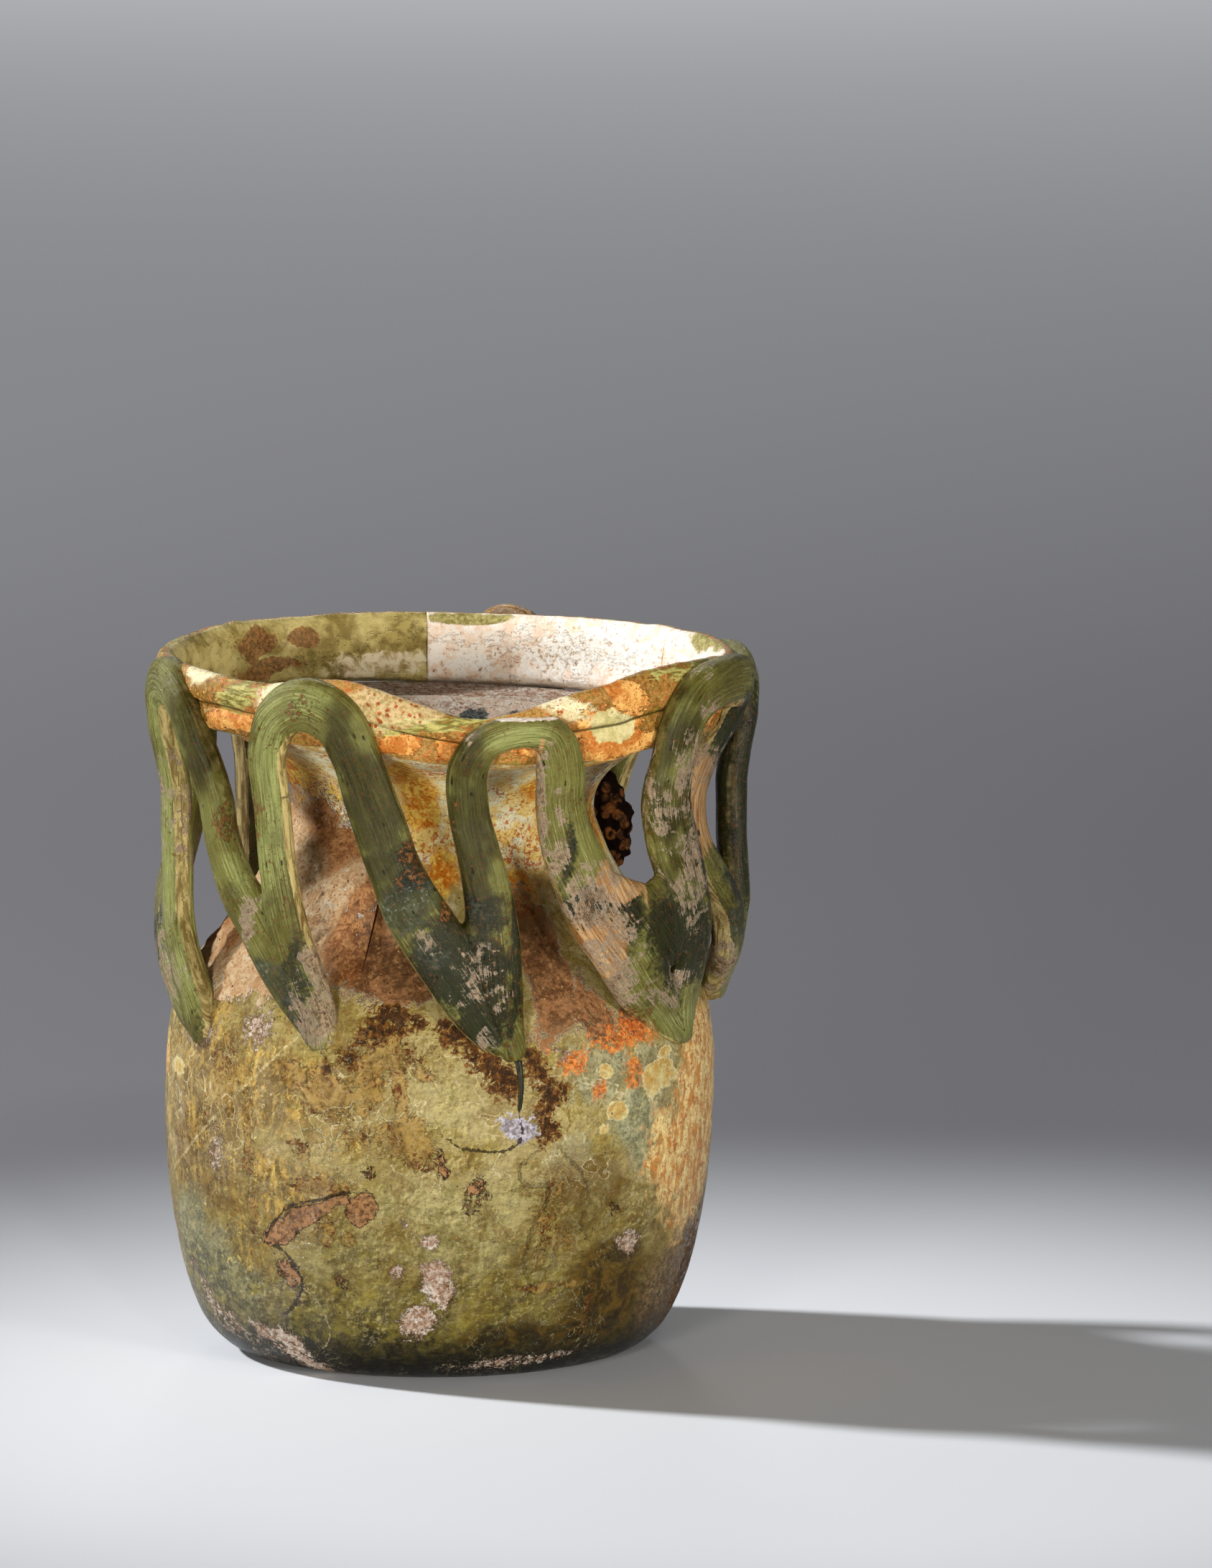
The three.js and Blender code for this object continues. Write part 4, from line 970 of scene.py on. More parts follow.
    r.lay(dots, (70, 40, 14), share=0.85)
    r.lay(r.times(r.times(line, body), r.ease(coarse, 0.54, 0.46, 1.6)), (226, 214, 164))
    lilac, _ = r.film("lilac", edges, 3.0)
    r.lay(lilac, (128, 118, 120), (198, 192, 202))
    lime, lime_rim = r.film("lime", r.sum((tufts, 0.7), (grain, 0.3)), 3.6)
    r.lay(lime_rim, (104, 74, 48), share=0.7)
    r.lay(lime, r.over(r.ease(fine, 0.4, 0.58), (158, 118, 88),
                       r.over(r.ease(middle, 0.42, 0.6), tuple(colours.lime) + (1,), (244, 234, 220))))
    # Fine lines
    scratch = r.times(r.stroke("straight", 0.26, fine), r.ease(middle, 0.42, 0.56, 0.85, 0.25))
    r.lay(scratch, (208, 192, 142))
    pale_line = r.sum(r.stroke("film_a", 0.13, fine), r.stroke("film_b", 0.11, fine),
                      r.stroke("film_c", 0.11, fine), r.stroke("low_line", 0.13, fine),
                      r.stroke("stripe", 0.13, fine))
    r.lay(pale_line, (206, 190, 138), share=0.6)
    dark_line = r.sum(r.stroke("worm", 0.2, fine), r.stroke("worm_low", 0.24, fine),
                      r.stroke("flake", 0.16, fine), (r.stroke("ridge_a", 0.3, fine), 0.35),
                      (r.stroke("ridge_b", 0.22, fine), 0.3))
    r.lay(dark_line, (50, 36, 18), share=0.85)
    # Relief and gloss
    layers = r.sum(lime, (film, 0.4), (amber, 0.35), (moss, 0.3), (copper, 0.8), (tone, 0.5), (line, -0.3),
                   (dark_line, -0.8), (pale_line, -0.3))
    bump = r.relief(layers, 0.3)
    bump = r.relief(r.sum((fine, 0.6), (grain, r.sum((lime, 0.6), 0.25))), 0.6, bump)
    ripple = r.cloud(1.6, 6, 0.68, 0.5, at=r.stretched((0.6, 0.6, 1.4)), shift=1.0)
    bump = r.relief(r.times(ripple, r.ease(height, 46, 16)), 1.1, bump)
    bump = r.relief(r.ease(r.cells(0.8, shift=8.0), 0.0, 0.28), 0.07, bump)
    rough = r.sum(0.14, (lime, 0.6), (film, 0.4), (moss, 0.4), (neck, 0.3), (r.ease(middle, 0.4, 0.6), 0.2))
    return r.finish(rough, bump)


def rim_glass(name):
    """Folded glass: cream and ochre with rust speckles, a dark line along the ridge, olive or limed inside."""
    r = Recipe(name, IOR=1.5, Specular_IOR_Level=0.22)
    coarse = r.cloud(5, 4, shift=1.0)
    fine = r.cloud(0.6, 5, 0.65, shift=3.0)
    r.grade, r.grade_low = fine, 0.42
    middle = r.cloud(1.8, 5, 0.6, 0.5, shift=6.0)
    edges = r.sum((middle, 0.6), (fine, 0.4))
    lengthwise = r.cloud(1.2, 5, 0.6, 0.6, at=r.stretched((0.5, 0.5, 2.2)), shift=12.0)
    # Outside of the collar
    r.colour = r.over(r.ease(coarse, 0.42, 0.58), r.two((122, 84, 26), (178, 138, 66)),
                      r.two((154, 114, 46), (212, 178, 108)))
    r.lay(r.ease(lengthwise, 0.54, 0.61, 0.65), (148, 130, 54))
    r.lay(r.ease(lengthwise, 0.45, 0.4, 0.5), (166, 106, 42))
    r.lay(r.broken("creamy", middle, 0.3, 0.7), (226, 212, 160), (248, 240, 208))
    ochre, ochre_rim = r.film("ochre", r.sum((edges, 0.6), (lengthwise, 0.4)), 3.0)
    r.lay(ochre, (190, 112, 38), (240, 186, 104), edges, 0.44, 0.58, share=0.9)
    r.lay(ochre_rim, (126, 74, 26), share=0.5)
    rust = r.ease(r.sum(fine, (coarse, 0.35)), 0.71, 0.77)
    r.lay(rust, (176, 86, 22), share=0.9)
    greenish = r.broken("greenish", lengthwise, 0.42, 0.56, 2.4)
    r.lay(greenish, (112, 104, 36), (190, 180, 104), lengthwise)
    r.lay(r.broken("milky", middle, spread=1.4), (190, 178, 118), (220, 206, 150), middle)
    ridge = r.ease(r.sum(r.kept("ridge"), (fine, 0.35)), 0.85, 1.0)
    r.lay(ridge, (66, 62, 20), share=0.85)
    outside = r.colour
    # Inside of the mouth, limed between the break and the right
    r.colour = r.over(r.ease(coarse, 0.42, 0.6), r.two((136, 118, 60), (176, 158, 92), middle), (206, 190, 124))
    brown, _ = r.film("brown", edges, 1.4)
    r.lay(brown, (98, 58, 24), (156, 104, 56), share=0.85)
    chalk = r.broken("chalk", middle, 0.3, 0.75, 1.2)
    r.lay(chalk, (190, 164, 118), (244, 232, 204), middle, share=0.75)
    inside = r.colour
    r.colour = r.two((250, 222, 198), (255, 248, 238), edges, 0.42, 0.54)
    white = r.broken("white", middle, 0.3, 0.7, 1.4)
    r.lay(white, (222, 200, 172), (255, 252, 246), fine, 0.36, 0.5)
    r.lay(r.ease(fine, 0.39, 0.33, 0.4), (196, 146, 104))
    r.lay(r.broken("inolive", edges, 0.4, 0.6, 1.2), (136, 126, 66), (186, 176, 114))
    limed = r.broken("limed", edges, 0.45, 0.55, 1.2)
    r.colour = r.over(limed, inside, r.colour)
    chalk = r.math("MAXIMUM", chalk, limed)
    # Both together, with what lies on either
    inner = r.kept("inside")
    r.colour = r.over(r.ease(inner, 0.4, 0.6), outside, r.colour)
    speckled = r.ease(r.kept("speckle"), 0.2, 0.5)
    r.lay(speckled, (194, 170, 112), (230, 214, 168), share=0.6)
    spots = r.ease(r.sum(r.cells(0.8, shift=4.0), (fine, 0.5)), 0.68, 0.56)
    r.lay(r.times(spots, speckled), (146, 66, 18), (196, 118, 50))
    r.lay(r.ease(fine, 0.42, 0.34, 0.4), (90, 62, 24))
    bump = r.relief(r.sum((ochre, 0.5), (fine, 0.6), (middle, 0.5), (lengthwise, 0.5)), 0.38)
    bump = r.relief(r.cloud(0.18, 2, shift=11.0), 0.06, bump)
    rough = r.sum(0.2, (ochre, 0.3), (r.times(chalk, inner), 0.35), (fine, 0.15))
    return r.finish(rough, bump)


def trail_glass(context):
    """Trailed glass: green with fine lengthwise streaks and pits, darker or paler where crust and slate lie,
    with painted light and shade on its threads and a painted rim light along one side.
    """
    colours = context.scene.jar_colours
    r = Recipe("trailed_green_glass", IOR=1.5, Specular_IOR_Level=0.22)
    across, along = r.kept("across"), r.kept("along")
    lengthwise = r.vector(r.times(across, 3.2), r.times(along, 0.13), r.kept("side"))
    streak = r.cloud(0.8, 5, 0.7, 0.5, at=lengthwise)
    r.grade, r.grade_low = streak, 0.4
    hair = r.cloud(0.4, 4, 0.7, 0.3, at=r.vector(r.times(across, 2.8), r.times(along, 0.07), r.kept("side")),
                   shift=4.0)
    coarse = r.cloud(6, 3, shift=2.0)
    middle = r.cloud(1.8, 6, 0.68, 0.7, shift=5.0)
    fine = r.cloud(0.5, 5, 0.7, shift=7.0)
    grain = r.cloud(0.16, 2, shift=1.0)
    edges = r.sum((middle, 0.55), (fine, 0.45))
    r.colour = r.over(r.ease(coarse, 0.4, 0.6), tuple(colours.trail) + (1,), r.two((74, 72, 20), (104, 98, 38)))
    # Lighter and darker stretches broken by hairs along the trail, and threads painted lighter on one side and
    # darker on the other as painted light and shade
    bands = r.times(r.sum(streak, -0.5), 3.6)
    bright = r.ease(r.sum(r.kept("bright"), bands), 0.2, 0.8)
    r.lay(bright, (114, 122, 62), (148, 152, 90), share=0.9)
    painted_thread_light = r.painted_relief_light(0.8, 5, 0.7, (0.3, 0.0, 0.0), 0.0, lengthwise)
    r.lay(r.ease(painted_thread_light, 0.03, 0.14, 0.26), (176, 176, 112))
    r.lay(r.ease(painted_thread_light, -0.03, -0.14, 0.3), (34, 32, 4))
    r.lay(r.ease(hair, 0.54, 0.66, 0.28), (184, 184, 126))
    r.lay(r.ease(hair, 0.46, 0.36, 0.34), (46, 38, 8))
    olive = r.ease(r.sum(r.kept("olive"), (bands, 0.6), (r.sum(coarse, -0.5), 2.4)), 0.1, 0.85)
    r.lay(olive, (18, 15, 0), (64, 60, 8), r.sum((streak, 0.5), (hair, 0.5)), share=0.88)
    dark = r.ease(r.sum(r.kept("dark"), (r.sum(edges, -0.5), 3.0)), 0.2, 0.7)
    r.lay(dark, (2, 4, 0), (26, 32, 6), r.sum((streak, 0.5), (hair, 0.5)), share=0.92)
    slate = r.broken("slate", middle, 0.25, 0.8)
    r.lay(slate, (17, 23, 14), (80, 86, 70), edges, 0.46, 0.6, share=0.75)
    r.lay(r.times(slate, r.ease(fine, 0.57, 0.62, 0.6)), (150, 158, 150))
    specks = r.times(r.ease(fine, 0.555, 0.6, 0.9), r.ease(coarse, 0.4, 0.54))
    r.lay(specks, (92, 54, 16))
    # Worn edges, paler along one side of each arm as a painted rim light, tan and rust films, and pale crust
    # with its rim
    face = r.ease(r.sum(r.kept("edge"), (middle, 0.3)), 0.85, 1.05)
    r.lay(face, (120, 94, 46), (206, 184, 124), hair, 0.42, 0.58, share=0.75)
    tan, _ = r.film("tan", r.sum((edges, 0.5), (streak, 0.5)), 1.2)
    r.lay(tan, (140, 94, 48), (196, 158, 110), hair, 0.44, 0.56, share=0.85)
    rust = r.times(r.broken("rust", edges, spread=3.6), r.ease(fine, 0.46, 0.52))
    r.lay(rust, (62, 36, 10), (126, 80, 34), middle, share=0.85)
    blotch = r.cloud(2.4, 7, 0.62, 1.0, shift=15.0)
    crust = r.sum((blotch, 0.5), (hair, 0.3), (fine, 0.2))
    pale, pale_rim = r.film("pale", crust, 3.2)
    chalk = r.two((68, 52, 34), (166, 140, 112), r.sum((fine, 0.5), (hair, 0.5)), 0.44, 0.58)
    chalk = r.over(r.ease(fine, 0.37, 0.45), (44, 32, 14), chalk)
    r.lay(r.times(pale, r.ease(hair, 0.4, 0.5, 0.95, 0.5)), chalk)
    r.lay(pale_rim, (206, 186, 160), share=0.75)
    r.lay(r.ease(r.kept("fracture"), 0.45, 0.6), (214, 190, 168), (246, 238, 226), fine)
    pits = r.cells(1.5, at=r.vector(r.times(across, 1.6), r.times(along, 0.6), 0), shift=2.0)
    pits = r.ease(pits, 0.19, 0.12)
    r.lay(pits, (22, 18, 8), share=0.9)
    # Relief and gloss
    bump = r.relief(r.sum((streak, 0.6), (hair, 0.3)), 0.26)
    bump = r.relief(r.sum(pale, (r.times(fine, pale), 0.9), (pits, -0.9), (rust, 0.5)), 0.14, bump)
    bump = r.relief(r.sum((fine, 0.6), (grain, 0.45)), 0.16, bump)
    rough = r.sum(0.17, (pale, 0.5), (face, 0.35), (slate, 0.25), (r.ease(middle, 0.4, 0.6), 0.15))
    return r.finish(rough, bump)


def lime_material(name, warm, dark, light):
    """Lime crust: pinkish and cream grains with pits, orange-brown stains with a painted shadow in the same
    colours, and brown hollows.
    """
    r = Recipe(name, IOR=1.45, Specular_IOR_Level=0.1)
    coarse, middle = r.cloud(7, 4, 0.6, 0.6), r.cloud(1.6, 6, 0.65, 0.6, shift=3.0)
    fine, grain = r.cloud(0.4, 5, 0.7, shift=6.0), r.cloud(0.12, 2, shift=9.0)
    edges = r.sum((middle, 0.6), (fine, 0.4))
    r.colour = r.over(r.ease(edges, 0.42, 0.58), dark, light)
    r.lay(r.ease(middle, 0.54, 0.66, 0.8), (242, 232, 212))
    # Orange-brown stains, and on the neck crust a painted shadow in the same colours
    stain_and_shade = r.sum(r.kept("stain_and_shadow"), (r.sum(coarse, -0.5), 2.0), (r.sum(edges, -0.5), 1.6))
    stain_and_shade = r.ease(stain_and_shade, 0.35, 0.65, warm)
    r.lay(stain_and_shade, r.over(r.ease(edges, 0.42, 0.58), (136, 66, 20), (214, 140, 66)))
    r.lay(r.ease(fine, 0.44, 0.36, 0.8), (112, 66, 30))
    r.lay(r.ease(r.cells(1.6, shift=2.0), 0.14, 0.07), (58, 40, 24))
    iris = r.broken("iris", edges, 0.42, 0.56, 2.0)
    r.lay(iris, r.over(r.ease(fine, 0.42, 0.56), (38, 42, 46), (120, 124, 118)))
    bump = r.relief(r.sum((middle, 0.8), (fine, 0.6), (grain, 0.2)), 1.6)
    return r.finish(r.sum(0.7, (fine, 0.2), (iris, -0.3)), bump)


def soil_material(context):
    """Crumbly soil: hollows painted dark brown as shade, and lighter crumbs."""
    r = Recipe("crumbly_soil", IOR=1.4, Specular_IOR_Level=0.1)
    fine, middle = r.cloud(0.4, 5, 0.7), r.cloud(1.6, 4, 0.6, shift=3.0)
    r.colour = r.over(r.ease(middle, 0.4, 0.62), tuple(context.scene.jar_colours.soil) + (1,), (134, 80, 36))
    r.lay(r.ease(fine, 0.55, 0.68), (176, 124, 74))
    # Painted shade in the hollows between the crumbs, in this line and the next
    r.lay(r.ease(r.cells(1.5, shift=3.0), 0.42, 0.62), (22, 10, 4))
    r.lay(r.ease(r.kept("painted_shade_hollow"), 0.5, 0.9), (34, 18, 9))
    bump = r.relief(r.sum((fine, 0.7), (r.cells(1.5, shift=3.0), -1.2)), 0.9)
    return r.finish(r.sum(0.85, (fine, 0.1)), bump)


def dark_material(name, dark, light):
    """Plain dark glass with faint streaks."""
    r = Recipe(name, IOR=1.5, Specular_IOR_Level=0.15)
    fine = r.cloud(0.5, 4, at=r.stretched((1, 1, 0.3)))
    r.colour = r.over(r.ease(fine, 0.4, 0.65), dark, light)
    return r.finish(r.sum(0.25, (fine, 0.3)), r.relief(fine, 0.08))


def outer_envelope(mm):
    """Table of the jar's outer radius by azimuth and height after the sag, vessel and fold together."""
    heights = np.linspace(0, ENVELOPE_TOP, ENVELOPE_TOP * ENVELOPE_ROWS + 1)
    line = vessel_outline(mm, WALL_POINTS)
    fold = fold_outline(mm, 240)
    fold = fold[fold[:, 0] > mm.rim_radius - 0.45 * mm.fold_width]
    fold = fold[np.argsort(fold[:, 1])]
    table = np.zeros((360, len(heights)))
    for i, azimuth in enumerate(np.radians(np.arange(-180, 180))):
        wall = settled_height(azimuth, line[:, 1], mm)
        edge = settled_height(azimuth, fold[:, 1], mm)
        table[i] = np.maximum(np.interp(heights, wall, line[:, 0], right=0),
                              np.interp(heights, edge, fold[:, 0], left=0, right=0))
    return table


def envelope_radius(table, azimuth, height):
    """Reading of the envelope between its rows and columns."""
    a = (np.degrees(azimuth) + 180) % 360
    h = np.clip(height * ENVELOPE_ROWS, 0, table.shape[1] - 1.001)
    i, j = np.floor(a).astype(int) % 360, np.floor(h).astype(int)
    u, v = a - np.floor(a), h - j
    k = (i + 1) % 360
    return ((1 - u) * (1 - v) * table[i, j] + u * (1 - v) * table[k, j]
            + (1 - u) * v * table[i, j + 1] + u * v * table[k, j + 1])


def trail_outer(azimuth, height, mm):
    """Outer radius of the trail: from its foot to its full radius by a swing, times its bulge shares."""
    rise = (height - mm.trail_tip_height) / mm.trail_rise
    shares, bulge, right = np.array(TRAIL_BULGE).T
    base = mm.trail_foot_radius + (mm.trail_radius - mm.trail_foot_radius) * np.clip(rise / SWING_SHARE, 0, 1)
    return base * (np.interp(rise, shares, bulge) + np.interp(rise, shares, right) * np.sin(azimuth))


def strap(rows, mm, steps=260, sides=36):
    """One loop of trail: a squarish oval carried along a smooth curve drawn on the trail's own round surface.
    Gives its rings of points, its middle line and its half width along that line."""
    points = [(math.radians(azimuth) * mm.trail_radius, mm.trail_tip_height + rise * mm.trail_rise,
               width * mm.trail_width, BEND_WEIGHT * sum(bend)) for azimuth, rise, width, *bend in rows]
    across, height, width, bend = (column[:, None] for column in smooth_curve(points, steps).T)
    bend = BEND_DEPTH * bend
    flat = unit(np.gradient(np.hstack([across, height]), axis=0))
    turn = full_turn(sides)[None]
    oval = [np.sign(v) * np.abs(v) ** OVAL_POWER for v in (np.cos(turn), np.sin(turn))]
    side = width / 2 * oval[0]
    azimuths = (across - flat[:, 1, None] * side) / mm.trail_radius
    heights = height + flat[:, 0, None] * side
    deep = mm.trail_thickness / 2 * oval[1] - bend
    radii = trail_outer(azimuths, heights, mm) - mm.trail_thickness / 2 + deep
    azimuth = across / mm.trail_radius
    middle = placed(azimuth, trail_outer(azimuth, height, mm) - mm.trail_thickness / 2 - bend, height)
    return placed(azimuths, radii, heights), middle[:, 0], width[:, 0] / 2


def remeshed(piece, size):
    """Places and quads of a mesh made anew over small cubes, so that what crosses in it becomes one surface."""
    modifier = piece.modifiers.new("one_surface", "REMESH")
    modifier.mode, modifier.voxel_size = "VOXEL", size / 1000
    whole = piece.evaluated_get(bpy.context.evaluated_depsgraph_get())
    mesh = bpy.data.meshes.new_from_object(whole)
    corners = read(mesh.loops, "vertex_index", 1, np.int32)
    bpy.data.objects.remove(piece)
    return places_of(mesh), corners.reshape(-1, 4)


def relaxed(places, quads, rounds, amount=0.5):
    """Moves each place toward the mean of its neighbours, round after round."""
    a = np.concatenate([quads.ravel(), np.roll(quads, -1, 1).ravel()])
    b = np.concatenate([np.roll(quads, -1, 1).ravel(), quads.ravel()])
    count = np.bincount(a, minlength=len(places))[:, None]
    for _ in range(rounds):
        mean = np.stack([np.bincount(a, places[b, k], len(places)) for k in range(3)], 1) / count
        places = places + amount * (mean - places)
    return places


def face_normals(places, quads):
    """Normals at the places, each the mean of the faces around it."""
    cross = np.cross(places[quads[:, 2]] - places[quads[:, 0]], places[quads[:, 3]] - places[quads[:, 1]])
    corners = quads.ravel()
    return unit(np.stack([np.bincount(corners, np.repeat(cross[:, k], 4), len(places)) for k in range(3)], 1))


def nearest_on_loops(places, lines, widths):
    """For each place its nearest loop, and its nearest point among the points of all loops in a row. Distances
    count in half widths of the trail. Places are taken some thousands at a time to save memory."""
    spots = np.vstack(lines).astype(np.float32)
    halves = np.maximum(np.concatenate(widths).astype(np.float32), NARROWEST_HALF)
    places = places.astype(np.float32)
    best = np.zeros(len(places), int)
    for start in range(0, len(places), 4000):
        part = places[start:start + 4000]
        gap = (part ** 2).sum(1)[:, None] + (spots ** 2).sum(1)[None] - 2 * part @ spots.T
        best[start:start + 4000] = np.argmin(gap / halves[None] ** 2, axis=1)
    firsts = np.cumsum([0] + [len(line) for line in lines])
    return np.searchsorted(firsts, best, side="right") - 1, best


def loop_piece(name, at, mine, ends):
    """Piece of the trail over its own quads, its open edges closed by fans to a hub at either end of its line.
    Gives the piece and the numbers of its places."""
    used, local = np.unique(mine, return_inverse=True)
    local = local.reshape(mine.shape)
    spots = at[used]
    pairs = np.stack([local.ravel(), np.roll(local, -1, 1).ravel()], 1).astype(np.int64)
    forth, back = pairs @ [len(used), 1], pairs @ [1, len(used)]
    rim = pairs[~np.isin(forth, back)]
    middle = (spots[rim[:, 0]] + spots[rim[:, 1]]) / 2
    end = np.argmin(((middle[:, None] - ends[None]) ** 2).sum(2), axis=1)
    hubs = np.stack([middle[end == k].mean(0) if (end == k).any() else ends[k] for k in (0, 1)])
    fans = np.stack([rim[:, 1], rim[:, 0], len(used) + end], 1)
    return mesh_object(name, np.vstack([spots, hubs]), local, fans), used


class JAR_OT_vessel(bpy.types.Operator):
    """Blown body, neck and flare with a pushed-in base"""

    bl_idname = "jar.vessel"
    bl_label = "Vessel"

    def execute(self, context):
        mm = in_millimetres(context)
        floor, brim = mm.push_up + BASE_THICKNESS, mm.flare_height + BRIM_OVERLAP
        outside, inside = vessel_outline(mm, 168), vessel_outline(mm, 150, mm.wall)
        inside = inside[(inside[:, 1] > floor) & (inside[:, 1] < mm.flare_height - 1.0)][::-1][::2]
        lip = np.array([(mm.flare_radius - 0.7, brim), (mm.flare_radius - 1.7, brim)])
        under = smooth_curve([(0.4, mm.push_up), (6, mm.push_up * 0.95), (10, mm.push_up * 0.8),
                              (16, mm.push_up * 0.3), (20.5, 0.05)], 26)
        bottom = smooth_curve([(mm.rest_radius, floor - 0.9), (14, floor - 0.2), (0.4, floor)], 14)
        outline = np.vstack([under, outside, lip, inside, bottom])
        radius, height = np.broadcast_to(outline.T[:, :, None], (2, len(outline), VESSEL_SIDES))
        azimuth = np.linspace(-np.pi, np.pi, VESSEL_SIDES, endpoint=False)[None]
        piece = skin("blown_vessel", placed(azimuth, radius, settled_height(azimuth, height, mm)))
        at = places_of(piece.data)
        azimuth, radius, height = unplaced(at)
        push = 0.12 * noise(at, 14, 3, 2) + 0.05 * noise(at * [1, 1, 2.2], 4, 5, 3)
        inner = np.zeros(len(at))
        inner[(len(under) + len(outside)) * VESSEL_SIDES:len(outline) * VESSEL_SIDES] = 1
        push *= smoothstep(height, 0.3, 4) * (1 - inner)
        move(piece, at + normals_of(piece) * push[:, None])
        store_patches(piece, VESSEL_PATCHES, azimuth, height, np.maximum(radius, 20))
        for name, points in LINES.items():
            gap = line_gap(points, azimuth, height, mm.body_radius)
            store(piece, name, np.where(inner < 0.5, gap, FAR_GAP))
        dress(piece, "vessel", vessel_glass(context))
        return {"FINISHED"}


class JAR_OT_rim(bpy.types.Operator):
    """Folded rim, and the sherd of it beside the break"""

    bl_idname = "jar.rim"
    bl_label = "Folded rim"

    def execute(self, context):
        mm = in_millimetres(context)
        outline = fold_outline(mm, FOLD_POINTS)
        for name, node, start, stop, steps in RIM_SPANS:
            azimuth = np.radians(np.linspace(start, stop, steps))[:, None]
            azimuth = (azimuth + np.pi) % (2 * np.pi) - np.pi
            radius, height = np.broadcast_to(outline.T[:, None], (2, steps, FOLD_POINTS))
            piece = skin(name, placed(azimuth, radius, settled_height(azimuth + 0 * radius, height, mm)))
            at = places_of(piece.data)
            azimuth, _, tall = unplaced(at)
            push = 0.16 * noise(at, 7, 11, 3) + 0.07 * noise(at * [1, 1, 1.6], 2.2, 17, 2)
            move(piece, at + normals_of(piece) * push[:, None])
            flat = np.concatenate([np.tile(outline, (steps, 1)), np.full((2, 2), 90.0)])
            middle = mm.rim_radius - 0.5 * mm.fold_width
            share = (flat[:, 1] - mm.flare_height) / (mm.rim_height - mm.flare_height)
            inside = smoothstep(middle + 0.9 - flat[:, 0], -0.4, 0.4)
            store(piece, "inside", inside * (1 - smoothstep(share, 0.97, 1.2)))
            store(piece, "ridge", np.exp(-((share - 0.47) / 0.035) ** 2) * (flat[:, 0] > middle))
            store_patches(piece, {**COLLAR_PATCHES, **MOUTH_PATCHES}, azimuth, tall, 38)
            turned = np.degrees(azimuth) % 360
            store(piece, "limed", smoothstep(turned, 62, 82) * (turned < BREAK_AZIMUTH + 0.1))
            dress(piece, node, rim_glass(name + "_glass"))
        return {"FINISHED"}


class JAR_OT_trail(bpy.types.Operator):
    """Zigzag trail in seven loops, pressed on the shoulder and the rim"""

    bl_idname = "jar.trail"
    bl_label = "Zigzag trail"

    def execute(self, context):
        mm = in_millimetres(context)
        # All loops as one surface
        rings, lines, widths = zip(*(strap(rows, mm) for rows in LOOPS))
        parts, start = [], 0
        for loop in (*rings, strap(WEB, mm)[0]):
            places, faces, fans = closed(loop)
            parts.append((places, faces + start, fans + start))
            start += len(places)
        joined = mesh_object("joined_straps", *(np.vstack(part) for part in zip(*parts)))
        at, quads = remeshed(joined, VOXEL)
        at = relaxed(at, quads, 5)
        # Where each place lies on its loop: across, along and deep
        owner, spot = nearest_on_loops(at, lines, widths)
        azimuth, radius, height = unplaced(at)
        radial = np.stack([np.sin(azimuth), -np.cos(azimuth), 0 * azimuth], 1)
        tangent = unit(np.vstack([np.gradient(line, axis=0) for line in lines]))
        beside = unit(np.cross(tangent[spot], radial))
        away = at - np.vstack(lines)[spot]
        offset, deep = (away * beside).sum(1), (away * radial).sum(1)
        steps = [np.append(0, np.cumsum(np.linalg.norm(np.diff(line, axis=0), axis=1))) for line in lines]
        reach = np.concatenate([step + BETWEEN_LOOPS * i for i, step in enumerate(steps)])[spot]
        # Lengthwise swells of drawn glass, and the third loop's crest broken off flat
        lengthwise = np.stack([offset * 1.3, reach * 0.09, owner * 31.7], 1)
        swell = (0.13 * noise(lengthwise, 1.5, 21, 2) + 0.06 * noise(at, 5, 23, 2)
                 + 0.04 * noise(lengthwise * [2.6, 1.5, 1], 1, 29))
        at = at + face_normals(at, quads) * swell[:, None]
        crest = (owner == 2) & (height > 88)
        top = BROKEN_CREST_TOP + 0.12 * noise(at, 1.5, 31, 2)
        at[:, 2] = np.where(crest & (at[:, 2] > top), top, at[:, 2])
        # Nothing of the trail inside the wall or the fold
        azimuth, radius, height = unplaced(at)
        wall = envelope_radius(outer_envelope(mm), azimuth, height) + 0.03
        at = np.where((radius < wall)[:, None], placed(azimuth, wall, height), at)
        # Fields that the material reads
        normals = face_normals(at, quads)
        facing = np.abs((normals * radial).sum(1))
        painted_rim_light = np.clip((normals * beside).sum(1), 0, 1)
        fields = patch_fields(TRAIL_PATCHES, azimuth, height, 41)
        fields["fracture"] = np.where(crest & (at[:, 2] > top - 0.08), 1.0, 0.0)
        fields["pale"] *= 0.67
        fields["across"] = offset
        fields["along"] = reach
        fields["side"] = owner * 3.1 + np.where(deep > 0, 0.0, 1.5)
        # Sides of the trail turned away from the wall, for its worn tan glass, plus a painted rim light on one
        # side of each arm
        turned_away = np.where(facing < 0.45, 0.75, 0.25) * np.clip(1.4 - 1.6 * facing, 0, 1)
        fields["edge"] = turned_away + 0.35 * painted_rim_light
        # Each face goes to the loop that most of its corners lie on
        material = trail_glass(context)
        chosen = owner[quads]
        votes = (chosen[:, :, None] == chosen[:, None, :]).sum(2)
        face_owner = chosen[np.arange(len(quads)), np.argmax(votes, axis=1)]
        for i, line in enumerate(lines):
            piece, used = loop_piece(f"zigzag_loop_{i + 1}", at, quads[face_owner == i], line[[0, -1]])
            for name, values in fields.items():
                store(piece, name, np.append(values[used], [0, 0]))
            shown = np.vstack([normals[used], [[0, 0, 1], [0, 0, 1]]])
            piece.data.normals_split_custom_set_from_vertices(shown)
            dress(piece, f"trail_loop_{i + 1}", material)
        return {"FINISHED"}


